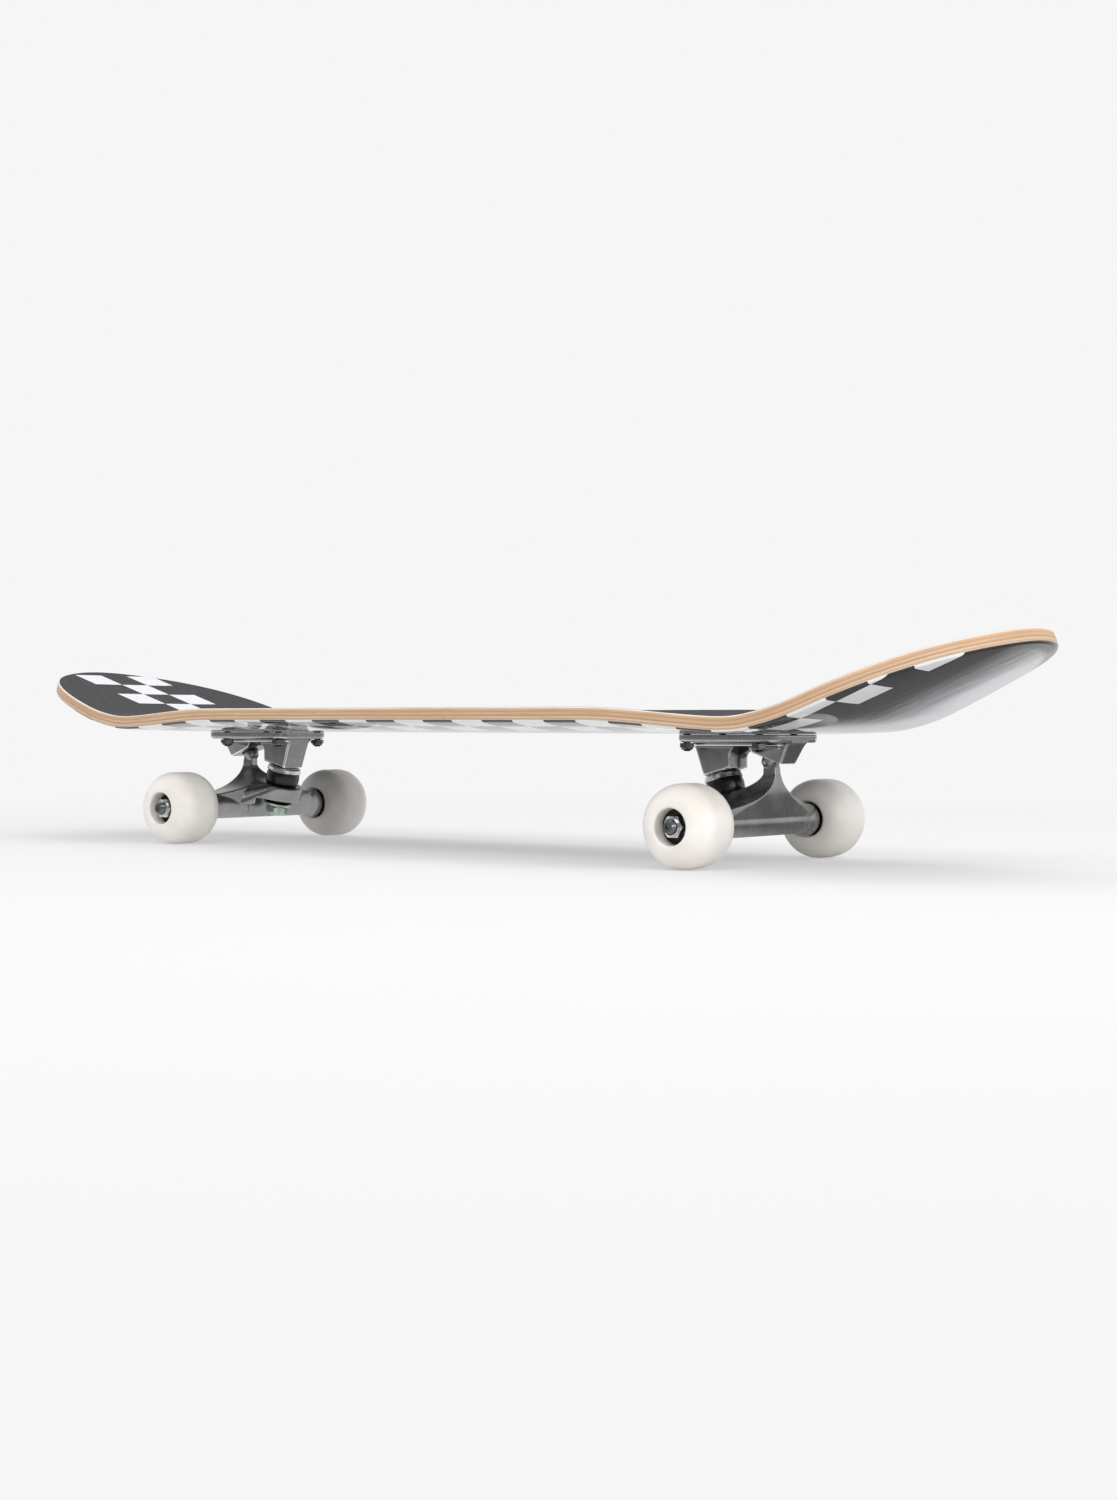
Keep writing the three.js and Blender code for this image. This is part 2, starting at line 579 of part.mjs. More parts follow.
/** A web from the pivot to the axle, where its side view, front view and plan cross. */
function hangerWeb() {
  const { Vector2, Shape } = THREE;
  const top = pivotMouth.z - armTopGap;
  const ringTop = (x) => ringMiddle.z + ringThickness / 2 / Math.cos(kingpinTilt)
    + (x - ringMiddle.x) * Math.tan(kingpinTilt);
  const ringRoot = ringMiddle.x + ringHoleRadius + nutPocketClearance + seatGap;
  const inner = pivotMouth.x - armTop.inner;
  const outer = pivotMouth.x + armTop.outer;

  const side = new Shape([new Vector2(inner, top), new Vector2(outer, top)]);
  side.quadraticCurveTo(outer + armPull, top / 2, housingRadius + webRoot.out, housingRadius * webRoot.rise);
  side.lineTo(housingRadius * webRoot.rise, 0);
  side.lineTo(0, -housingKeel / 2);
  side.lineTo(-housingRadius * webRoot.inner, 0);
  side.lineTo(ringRoot, ringTop(ringRoot) - ringThickness / Math.cos(kingpinTilt) + seatGap);
  side.lineTo(ringRoot, ringTop(ringRoot) - seatGap);
  side.quadraticCurveTo(inner - armPull, ringTop(inner - armPull) - seatGap, inner, top * armNeck.share);

  const flank = new THREE.QuadraticBezierCurve(new Vector2(armNeck.half, top * armNeck.share),
    new Vector2(webBend.half, top * webBend.share), new Vector2(webHalfWidth, webEnd.rise));
  const half = [new Vector2(armTop.half, top + overrun), ...flank.getPoints(6),
    new Vector2(webHalfWidth, -housingKeel / 2)];
  const front = [...half, ...half.toReversed().map(({ x, y }) => new Vector2(-x, y))];

  const plan = [
    [-webEnd.inner, webHalfWidth], [-webMiddle.inner, webMiddle.half],
    [-webMiddle.inner, -webMiddle.half], [-webEnd.inner, -webHalfWidth],
    [webEnd.outer, -webHalfWidth], [webMiddle.outer, -webMiddle.half / 2], [outer + armPull, 0],
    [webMiddle.outer, webMiddle.half / 2], [webEnd.outer, webHalfWidth]].map(([x, y]) => new Vector2(x, y));

  const sideBody = solid(sideProfile(side, 2 * webHalfWidth));
  const frontBody = solid(plate(front, 4 * housingRadius).rotateX(Math.PI / 2).rotateZ(Math.PI / 2)
    .translate(-2 * housingRadius, 0, 0));
  const planBody = solid(plate(plan, 2 * truckHeight).translate(0, 0, -truckHeight));
  return sideBody.intersect(frontBody).intersect(planBody);
}

/** The ring round the kingpin, and the skirt that spreads from it onto the axle housing. */
function hangerRing() {
  const [inset, top, bottom] = [ringRadius - ringEase, ringStart + ringEase, ringEnd - ringEase];
  const disc = turnedOnKingpin([[0, ringStart], [inset, ringStart], [ringRadius, top],
    [ringRadius, bottom], [inset, ringEnd], [0, ringEnd]], roundSides);
  const rim = disc.attributes.position;
  const points = Array.from({ length: rim.count }, (_, i) => new THREE.Vector3().fromBufferAttribute(rim, i));
  const reach = housingRadius * skirtSink;
  for (const angle of skirtRoots) {
    for (const y of [-ringFlare, ringFlare]) {
      points.push(new THREE.Vector3(reach * Math.cos(angle), y, reach * Math.sin(angle)));
    }
  }
  return solid(new ConvexGeometry(points));
}

function makeHanger(prefix) {
  const face = hangerFace;
  const collarStart = wheelMiddle - wheelWidth / 2 - 2 * seatGap;
  const half = [[faceRadius, face], [faceRadius, collarStart], [collarRadius - collarEase, collarStart],
    [collarRadius, collarStart - collarEase], [collarRadius, collarStart - collarLength],
    [housingRadius, collarStart - collarLength - collarRun]];
  const housing = turned([[0, face], ...half, ...half.toReversed().map(([r, y]) => [r, -y]), [0, -face]],
    roundSides);
  const keelDepth = collarRadius;
  const keel = new THREE.BoxGeometry(4 * collarRadius, 2 * keelReach, keelDepth)
    .translate(0, 0, -housingKeel - keelDepth / 2);
  const rootEnd = -knuckleLength - knuckleTaper.length;
  const root = turnedOnPivot([[0, rootEnd], [knuckleRadius * knuckleTaper.share, rootEnd + endEase],
    [knuckleRadius, -knuckleLength], [knuckleRadius, -overrun], [pivotRadius, pivotCupLip - overrun], [pivotRadius, pivotTaper],
    [pivotTipRadius, pivotLength - pivotTipRadius],
    [pivotTipRadius * Math.SQRT1_2, pivotLength - pivotTipRadius * (1 - Math.SQRT1_2)],
    [0, pivotLength]], roundSides);

  const wall = roadWasherRadius + nutPocketClearance;
  const [near, far] = [nutPocketHalfWidth - nutPocketCorner, 3 * wall];
  const pocketOutline = new THREE.Shape([
    new THREE.Vector2(far, -nutPocketHalfWidth), new THREE.Vector2(far, nutPocketHalfWidth)]);
  pocketOutline.absarc(-wall + nutPocketCorner, near, nutPocketCorner, Math.PI / 2, Math.PI);
  pocketOutline.absarc(-wall + nutPocketCorner, -near, nutPocketCorner, Math.PI, 1.5 * Math.PI);
  const pocket = onKingpin(plate(pocketOutline, 2 * kingpinEnd).translate(0, 0, ringEnd));
  const ringHole = turnedOnKingpin(
    [[0, 0], [ringHoleRadius, 0], [ringHoleRadius, 2 * ringEnd], [0, 2 * ringEnd]], roundSides);
  const axleBore = bar(axleRadius + seatGap, -2 * face, 2 * face, roundSides);

  const cast = solid(housing).subtract(solid(keel)).add(hangerWeb()).add(hangerRing()).add(solid(root))
    .subtract(solid(pocket)).subtract(solid(ringHole)).subtract(solid(axleBore));
  return piece(`${prefix}_hanger`, shaped(cast), finish.castMetal());
}

// The wheel stack seats on the hanger's face: speed washer, bearing, spacer, bearing, speed washer, nut.
const halfStack = spacerLength / 2 + bearingWidth + speedWasher;
const wheelMiddle = hangerFace + seatGap + halfStack;
const axleNutStart = wheelMiddle + halfStack + seatGap;
const axleEnd = axleNutStart + axleNutHeight + axleStub;

function makeAxle(prefix) {
  const ease = endEase;
  const axle = turned([[0, -axleEnd], [axleRadius - ease, -axleEnd], [axleRadius, -axleEnd + ease],
    [axleRadius, axleEnd - ease], [axleRadius - ease, axleEnd], [0, axleEnd]], roundSides);
  return piece(`${prefix}_axle`, shaped(solid(axle)), finish.steel());
}

// ---------------------------------------------------------------------------------------------
// Wheels and what carries them
// ---------------------------------------------------------------------------------------------

function makeWheel(name) {
  const half = wheelWidth / 2;
  const seatRadius = bearingRadius + seatGap;
  const shoulder = spacerLength / 2 - seatGap;
  const { radial, axial, steps } = wheelShoulder;
  const outer = Array.from({ length: steps + 1 }, (_, i) => {
    const angle = (Math.PI / 2) * (i / steps);
    return [wheelRadius - radial * (1 - Math.cos(angle)), half - axial * (1 - Math.sin(angle))];
  });
  const middle = [seatRadius + (hubLipRadius - seatRadius) * hubRollMiddle, half - hubRollDepth * hubRollMiddle];
  const roll = [middle, [seatRadius, half - hubRollDepth], [seatRadius, shoulder], [coreBoreRadius, shoulder]];
  const upper = [...outer, ...roll];
  const wheel = turned([...upper, ...upper.toReversed().map(([r, y]) => [r, -y])], wheelSides);
  return piece(name, shaped(solid(wheel)), finish.urethane());
}

/** The turning part of a bearing: outer race and shields. The sign says which side of the spacer it is. */
function makeBearing(name, sign, sides) {
  const [start, end] = [sign * (spacerLength / 2), sign * (spacerLength / 2 + bearingWidth)];
  const bearing = turned([[bearingInnerRadius, start], [bearingRadius, start], [bearingRadius, end],
    [bearingInnerRadius, end]], sides);
  return piece(name, shaped(solid(bearing)), finish.blackSteel());
}

/** The clamped, still part inside a wheel: inner races, spacer and speed washers. */
function makeRaceStack(name) {
  const bore = axleRadius + seatGap;
  const stack = turned([[bore, -halfStack], [raceRadius, -halfStack], [raceRadius, -spacerLength / 2],
    [spacerRadius, -spacerLength / 2], [spacerRadius, spacerLength / 2], [raceRadius, spacerLength / 2],
    [raceRadius, halfStack], [bore, halfStack]], hiddenSides);
  return piece(name, shaped(solid(stack)), finish.steel());
}

function makeAxleNut(name) {
  const nut = hexNut(axleNutFlats, axleNutHeight, axleRadius + seatGap, axleNutChamfer);
  return piece(name, shaped(nut).rotateX(-Math.PI / 2), finish.steel());
}

/** One wheel with its bearings, race stack and nut, on one end of an axle. */
function makeWheelSet(prefix, side) {
  const set = new THREE.Group();
  set.position.y = side * wheelMiddle;
  if (side < 0) set.rotation.z = Math.PI;
  const nut = makeAxleNut(`${prefix}_axle_nut`);
  nut.position.y = axleNutStart - wheelMiddle;
  set.add(makeWheel(`${prefix}_wheel`), makeBearing(`${prefix}_outer_bearing`, 1, roundSides),
    makeBearing(`${prefix}_inner_bearing`, -1, hiddenSides), makeRaceStack(`${prefix}_race_stack`), nut);
  return set;
}

// ---------------------------------------------------------------------------------------------
// Mounting hardware and assembly
// ---------------------------------------------------------------------------------------------

function makeBolt(name) {
  const shank = gripTop - boltLength;
  const ease = endEase;
  const bolt = turned([[0, shank], [boltRadius - ease, shank], [boltRadius, shank + ease],
    [boltRadius, gripTop - boltHeadHeight], [boltHeadRadius, gripTop], [0, gripTop]], boltSides);
  return piece(name, shaped(solid(bolt)).rotateX(Math.PI / 2), finish.blackSteel());
}

function makeBoltNut(name) {
  const nut = shaped(hexNut(boltNutFlats, boltNutHeight, boltRadius + seatGap, 0));
  const top = deckUnderside - seatGap - plateThickness - seatGap;
  return piece(name, nut.translate(0, 0, top - boltNutHeight), finish.blackSteel());
}

/** A truck with its wheels, facing outboard along +X, its axle at the group's origin. */
function makeTruck(prefix, side) {
  const truck = new THREE.Group();
  truck.add(
    makeBaseplate(prefix), makePivotCup(prefix), makeKingpin(prefix),
    makeCupWasher(prefix), makeBoardBushing(prefix), makeRoadBushing(prefix), makeRoadWasher(prefix),
    makeKingpinNut(prefix), makeHanger(prefix), makeAxle(prefix),
    makeWheelSet(`${prefix}_right`, -side), makeWheelSet(`${prefix}_left`, side));
  return truck;
}

const board = new THREE.Group();
const deck = makeDeck();
board.add(deck, makeGripTape());

for (const [prefix, end] of [['nose', nose], ['tail', tail]]) {
  const truck = makeTruck(prefix, end.side);
  truck.position.set((end.side * axleSpacing) / 2, 0, axleHeight);
  if (end.side < 0) truck.rotation.z = Math.PI;
  board.add(truck);
  boltPlaces(end.side).forEach(([x, y], i) => {
    const bolt = makeBolt(`${prefix}_bolt_${i + 1}`);
    const nut = makeBoltNut(`${prefix}_bolt_nut_${i + 1}`);
    bolt.position.set(x, y, 0);
    nut.position.set(x, y, 0);
    board.add(bolt, nut);
  });
}

// The two ends differ in length, so the whole board moves until its length is centred.
board.position.x = -new THREE.Box3().setFromObject(deck).getCenter(new THREE.Vector3()).x;

const skateboard = new THREE.Group();
skateboard.add(board);
export default skateboard;
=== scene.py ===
"""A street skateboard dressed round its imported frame: pressed maple deck, grip sheet, cast trucks and wheels.

Sizes are millimetres in the part's own frame (+Z up, +X toward the tail, -Y to the right of a rider who looks toward
the tail). Every mesh is turned into metres when its piece is made. Where a piece sits is asked of the frame.
"""

from __future__ import annotations

import logging
import math
from collections.abc import Iterable, Iterator, Sequence
from contextlib import contextmanager
from dataclasses import dataclass, field
from enum import Enum
from typing import Any

import bmesh
import bpy
import numpy as np
from mathutils import Matrix, Vector

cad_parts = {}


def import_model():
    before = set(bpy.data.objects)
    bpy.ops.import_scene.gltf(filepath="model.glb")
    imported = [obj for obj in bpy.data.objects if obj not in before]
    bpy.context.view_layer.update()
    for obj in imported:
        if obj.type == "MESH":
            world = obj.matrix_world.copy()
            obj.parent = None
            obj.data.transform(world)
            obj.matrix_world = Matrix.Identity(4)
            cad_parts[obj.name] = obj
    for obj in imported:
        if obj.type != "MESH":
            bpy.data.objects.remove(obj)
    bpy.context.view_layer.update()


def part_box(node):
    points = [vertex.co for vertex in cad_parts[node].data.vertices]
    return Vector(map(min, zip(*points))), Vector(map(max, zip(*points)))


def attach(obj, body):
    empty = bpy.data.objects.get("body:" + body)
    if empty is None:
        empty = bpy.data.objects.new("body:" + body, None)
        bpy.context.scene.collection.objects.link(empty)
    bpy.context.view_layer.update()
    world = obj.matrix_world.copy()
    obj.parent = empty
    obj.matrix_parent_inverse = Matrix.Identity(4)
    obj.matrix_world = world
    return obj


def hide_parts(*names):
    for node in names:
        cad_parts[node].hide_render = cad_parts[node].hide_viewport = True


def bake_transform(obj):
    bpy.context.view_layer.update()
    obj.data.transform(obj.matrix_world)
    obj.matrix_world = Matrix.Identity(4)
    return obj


LOG = logging.getLogger("skateboard")
MM = 0.001
# Sizes that several pieces share. PLAY is the gap between pieces that meet, and a bore is a radius.
PLAY = 0.3
AXLE_HEIGHT = 26.0
TRUCK_HEIGHT = 55.3
DECK_STACK = 9.35
KINGPIN_FLATS = 14.0
KINGPIN_BORE = 5.16
THREAD_PITCH = 1.06
# How far a cutter reaches past what it cuts.
BEYOND = 40.0
# A radius below this one is a point on the axis.
ON_AXIS = 1e-6
IN_PLACE = Matrix.Identity(4)
CROSSWISE = Matrix.Rotation(math.pi / 2, 4, "X")
ENDS = ("nose", "tail")

Flat = tuple[float, float]
Trio = tuple[float, float, float]
Rgb = tuple[int, int, int]
Socket = bpy.types.NodeSocket
Piece = bpy.types.Object


# ----- Shaping tools -----


class Joining(Enum):
    """How two closed bodies are put together."""

    JOIN = "UNION"
    CUT = "DIFFERENCE"
    CROSS = "INTERSECT"


def quarter(steps: int) -> list[Flat]:
    """Sine and cosine of even steps from 0 to 90 degrees."""
    return [(math.sin(a), math.cos(a)) for a in np.linspace(0, math.pi / 2, steps + 1)]


def mirrored(half: Sequence[Flat]) -> list[Flat]:
    """A profile of radius and height points, followed by its mirror image in the plane of height 0."""
    return [*half, *((radius, -height) for radius, height in reversed(half))]


def arc(centre: Flat, radius: float, start: float, end: float, steps: int) -> list[Flat]:
    """Points on a circle from one angle to another, in radians."""
    return [(centre[0] + radius * math.cos(a), centre[1] + radius * math.sin(a))
            for a in np.linspace(start, end, steps + 1)]


def bowed(start: Flat, pull: Flat, end: Flat, steps: int = 14) -> list[Flat]:
    """Points on a quadratic curve between two points, pulled toward a third."""
    return [tuple(Vector(start) * (1 - t) ** 2 + Vector(pull) * 2 * t * (1 - t) + Vector(end) * t * t)
            for t in np.linspace(0, 1, steps + 1)]


def eased(outline: Sequence[Flat], radius: float, steps: int = 4) -> list[Flat]:
    """Rounds the corners of a closed outline.

    Args:
        outline: The corners in order.
        radius: The wanted radius; a short side gets a smaller one.
        steps: Facets in each rounded corner.

    Returns:
        The rounded outline.
    """
    straight, folded, side_share = math.radians(174), math.radians(3), 0.48
    corners = [Vector(point) for point in outline]
    rounded: list[Flat] = []
    for i, corner in enumerate(corners):
        back, ahead = corners[i - 1] - corner, corners[(i + 1) % len(corners)] - corner
        opening = back.angle(ahead, math.pi)
        if not folded <= opening <= straight:
            rounded.append(tuple(corner))
            continue
        slope = math.tan(opening / 2)
        reach = min(radius / slope, side_share * back.length, side_share * ahead.length)
        bend = reach * slope
        back, ahead = back.normalized(), ahead.normalized()
        centre = corner + (back + ahead).normalized() * bend / math.sin(opening / 2)
        first, last = corner + back * reach - centre, corner + ahead * reach - centre
        start = math.atan2(first.y, first.x)
        sweep = (math.atan2(last.y, last.x) - start + math.pi) % math.tau - math.pi
        rounded += arc(tuple(centre), bend, start, start + sweep, steps)
    return rounded


def inset(outline: Sequence[Flat], distance: float) -> list[Flat]:
    """Moves a closed outline inward by a distance (outward when negative)."""
    tiny, sharpest = 1e-9, 0.35
    points = np.array(outline, float)
    area = np.sum(points[:, 0] * np.roll(points[:, 1], -1) - np.roll(points[:, 0], -1) * points[:, 1])
    ahead = np.roll(points, -1, axis=0) - points
    ahead /= np.maximum(np.linalg.norm(ahead, axis=1, keepdims=True), tiny)
    normal = np.stack([-ahead[:, 1], ahead[:, 0]], axis=1) * (1 if area > 0 else -1)
    both = normal + np.roll(normal, 1, axis=0)
    both /= np.maximum((both ** 2).sum(axis=1, keepdims=True) / 2, sharpest)
    return [tuple(point) for point in points + both * distance]


def hexagon(flats: float) -> list[Flat]:
    """A hexagon with its flats a given distance apart."""
    corner = flats / math.sqrt(3)
    return [(corner * math.cos(math.tau * k / 6), corner * math.sin(math.tau * k / 6)) for k in range(6)]


def threaded(radius: float, start: float, end: float, pitch: float, depth: float) -> list[Flat]:
    """The crests and roots of a screw thread as profile points, from one height to another."""
    turns = max(int(abs(end - start) / pitch), 1)
    heights = np.linspace(start, end, 2 * turns + 1)
    return [(radius - (depth if k % 2 else 0.0), float(h)) for k, h in enumerate(heights)]


@contextmanager
def editing(mesh: bpy.types.Mesh) -> Iterator[bmesh.types.BMesh]:
    """Lends a mesh out for editing, then turns its faces outward and puts it back."""
    body = bmesh.new()
    body.from_mesh(mesh)
    yield body
    bmesh.ops.recalc_face_normals(body, faces=body.faces)
    body.to_mesh(mesh)
    body.free()


def linked(name: str, mesh: bpy.types.Mesh) -> Piece:
    """Puts a mesh in the scene as an object."""
    made = bpy.data.objects.new(name, mesh)
    bpy.context.scene.collection.objects.link(made)
    return made


def mesh_of(name: str, points: Iterable[Sequence[float]], faces: Iterable[Sequence[int]],
            place: Matrix = IN_PLACE) -> bpy.types.Mesh:
    """Makes a mesh from points and faces in millimetres, at a place in millimetres."""
    mesh = bpy.data.meshes.new(name)
    mesh.from_pydata([tuple(point) for point in points], [], [tuple(face) for face in faces])
    mesh.transform(Matrix.Scale(MM, 4) @ place)
    return mesh


def solid(name: str, points: Iterable[Sequence[float]], faces: Iterable[Sequence[int]],
          place: Matrix = IN_PLACE) -> Piece:
    """An object with its faces turned outward, from points and faces in millimetres."""
    mesh = mesh_of(name, points, faces, place)
    with editing(mesh):
        return linked(name, mesh)


def turned(name: str, profile: Sequence[Flat], sides: int = 64, place: Matrix = IN_PLACE) -> Piece:
    """A solid of revolution about Z from radius and height points; one that starts off the axis closes on itself."""
    points: list[Trio] = []
    rings: list[list[int]] = []
    for radius, height in profile:
        count = 1 if radius < ON_AXIS else sides
        rings.append([len(points) + k % count for k in range(sides)])
        points += [(radius * math.cos(math.tau * k / count), radius * math.sin(math.tau * k / count), height)
                   for k in range(count)]
    if profile[0][0] > ON_AXIS:
        rings.append(rings[0])
    quads = [dict.fromkeys([low[k], low[(k + 1) % sides], high[(k + 1) % sides], high[k]])
             for low, high in zip(rings, rings[1:]) for k in range(sides)]
    return solid(name, points, [list(quad) for quad in quads if len(quad) > 2], place)


def rod(name: str, radius: float, low: float, high: float, sides: int, place: Matrix = IN_PLACE) -> Piece:
    """A plain cylinder about Z between two heights."""
    return turned(name, [(0, low), (radius, low), (radius, high), (0, high)], sides, place)


def lofted(name: str, loops: Sequence[Sequence[Sequence[float]]], place: Matrix = IN_PLACE) -> Piece:
    """A closed body over loops of the same number of points, capped at the first and the last."""
    count = len(loops[0])
    points = [point for loop in loops for point in loop]
    faces: list[list[int]] = [list(range(count)), [len(points) - count + k for k in range(count)]]
    for row in range(len(loops) - 1):
        for k in range(count):
            a, b = row * count + k, row * count + (k + 1) % count
            faces.append([a, b, b + count, a + count])
    return solid(name, points, faces, place)


def prism(name: str, outline: Sequence[Flat], low: float, high: float, place: Matrix = IN_PLACE) -> Piece:
    """An outline of x and y points, drawn out along Z between two heights."""
    return lofted(name, [[(x, y, z) for x, y in outline] for z in (low, high)], place)


def stepped(name: str, rim: Sequence[Flat], levels: Sequence[Flat]) -> Piece:
    """An outline of x and y points, drawn out along Z over levels that each give a height and an inset."""
    return lofted(name, [[(x, y, z) for x, y in inset(rim, step)] for z, step in levels])


def side_prism(name: str, outline: Sequence[Flat], half: float, ease: float = 0.0) -> Piece:
    """An outline of x and z points, drawn out evenly to both sides of the middle, with eased long edges."""
    stations = [(-half, outline), (half, outline)]
    if ease > 0:
        shrunk = inset(outline, ease)
        stations = [(-half, shrunk), (-half + ease, outline), (half - ease, outline), (half, shrunk)]
    return lofted(name, [[(x, y, z) for x, z in loop] for y, loop in stations])


def settle(made: Piece) -> Piece:
    """Makes an object's modifiers part of its mesh."""
    graph = bpy.context.evaluated_depsgraph_get()
    mesh, old = bpy.data.meshes.new_from_object(made.evaluated_get(graph)), made.data
    made.modifiers.clear()
    made.data = mesh
    bpy.data.meshes.remove(old)
    return made


def discard(*made: Piece) -> None:
    """Removes bodies that were only used to make others."""
    for body in made:
        mesh = body.data
        bpy.data.objects.remove(body)
        bpy.data.meshes.remove(mesh)


def combine(made: Piece, how: Joining, *tools: Piece) -> Piece:
    """Joins, cuts or crosses a body with others, which are used up."""
    for tool in tools:
        modifier = made.modifiers.new("combine", "BOOLEAN")
        modifier.operation, modifier.solver, modifier.object = how.value, "EXACT", tool
    settle(made)
    discard(*tools)
    return made


def gathered(made: Piece, *others: Piece) -> Piece:
    """Puts the shells of other bodies, which are used up, beside the ones of this body."""
    with editing(made.data) as body:
        for part in others:
            body.from_mesh(part.data)
    discard(*others)
    return made


def cast(made: Piece, rounds: int, grain: float = 0.45) -> Piece:
    """Melts a body's edges into the soft edges of a casting.

    Args:
        made: The body to soften.
        rounds: How many times the surface is relaxed.
        grain: Size of the new facets, in millimetres.

    Returns:
        The same object.
    """
    remesh = made.modifiers.new("skin", "REMESH")
    remesh.mode, remesh.voxel_size = "VOXEL", grain * MM
    relax = made.modifiers.new("relax", "SMOOTH")
    relax.factor, relax.iterations = 0.5, rounds
    return settle(made)


def in_metres(place: Matrix) -> Matrix:
    """A place in millimetres, for a mesh that is in metres already."""
    return Matrix.Scale(MM, 4) @ place @ Matrix.Scale(1 / MM, 4)


def copied(template: Piece, name: str, place: Matrix) -> Piece:
    """A copy of a finished body, moved to its place in millimetres."""
    mesh = template.data.copy()
    mesh.name = name
    mesh.transform(in_metres(place))
    return linked(name, mesh)


def hex_nut(name: str, size: Trio, bore: float, chamfer: float, place: Matrix) -> Piece:
    """A hex lock nut standing on its seat.

    Args:
        name: Name of the nut.
        size: Distance between its flats, its whole height, and the height of the round collar on its hexagon.
        bore: Radius of its hole.
        chamfer: How far the corners are turned down at both ends.
        place: Where the nut goes.

    Returns:
        The nut.
    """
    flats, height, collar = size
    top, fall, clear, sides = height - collar, chamfer * 0.58, 0.05, 48
    corner, rim, lining = flats / math.sqrt(3), flats / 2 - 0.55, bore + 0.35
    barrel = [(bore, 0.0), (corner - chamfer, 0.0), (corner + clear, fall), (corner + clear, top - fall),
              (corner - chamfer, top), (bore, top)]
    ring = [(lining, top - 0.3), (rim, top - 0.3), (rim, height - 0.9), (rim - 0.25, height - 0.35),
            (rim - 0.8, height), (bore + 1.1, height), (lining, height - 0.55)]
    nut = combine(prism(name, hexagon(flats), 0, top), Joining.CROSS, turned("barrel", barrel, sides))
    combine(nut, Joining.JOIN, turned("collar", ring, sides))
    nut.data.transform(in_metres(place))
    return nut


# ----- Finishes -----


def tint(colour: Rgb) -> tuple[float, float, float, float]:
    """A colour of 0 to 255 channels as the linear one that a shader takes."""
    linear = [(c / 255 / 12.92) if c <= 10 else ((c / 255 + 0.055) / 1.055) ** 2.4 for c in colour]
    return (*linear, 1.0)


@dataclass(frozen=True)
class Grain:
    """Soft random variation: its scale, or one for each axis, its octaves and how rough it is."""

    scale: float | Trio
    detail: float = 3.0
    roughness: float = 0.55


@dataclass(frozen=True)
class Veil:
    """A colour over another: it sets in as a value goes from low to high, and covers at most a share."""

    colour: Rgb
    low: float = 0.35
    high: float = 0.7
    share: float = 1.0


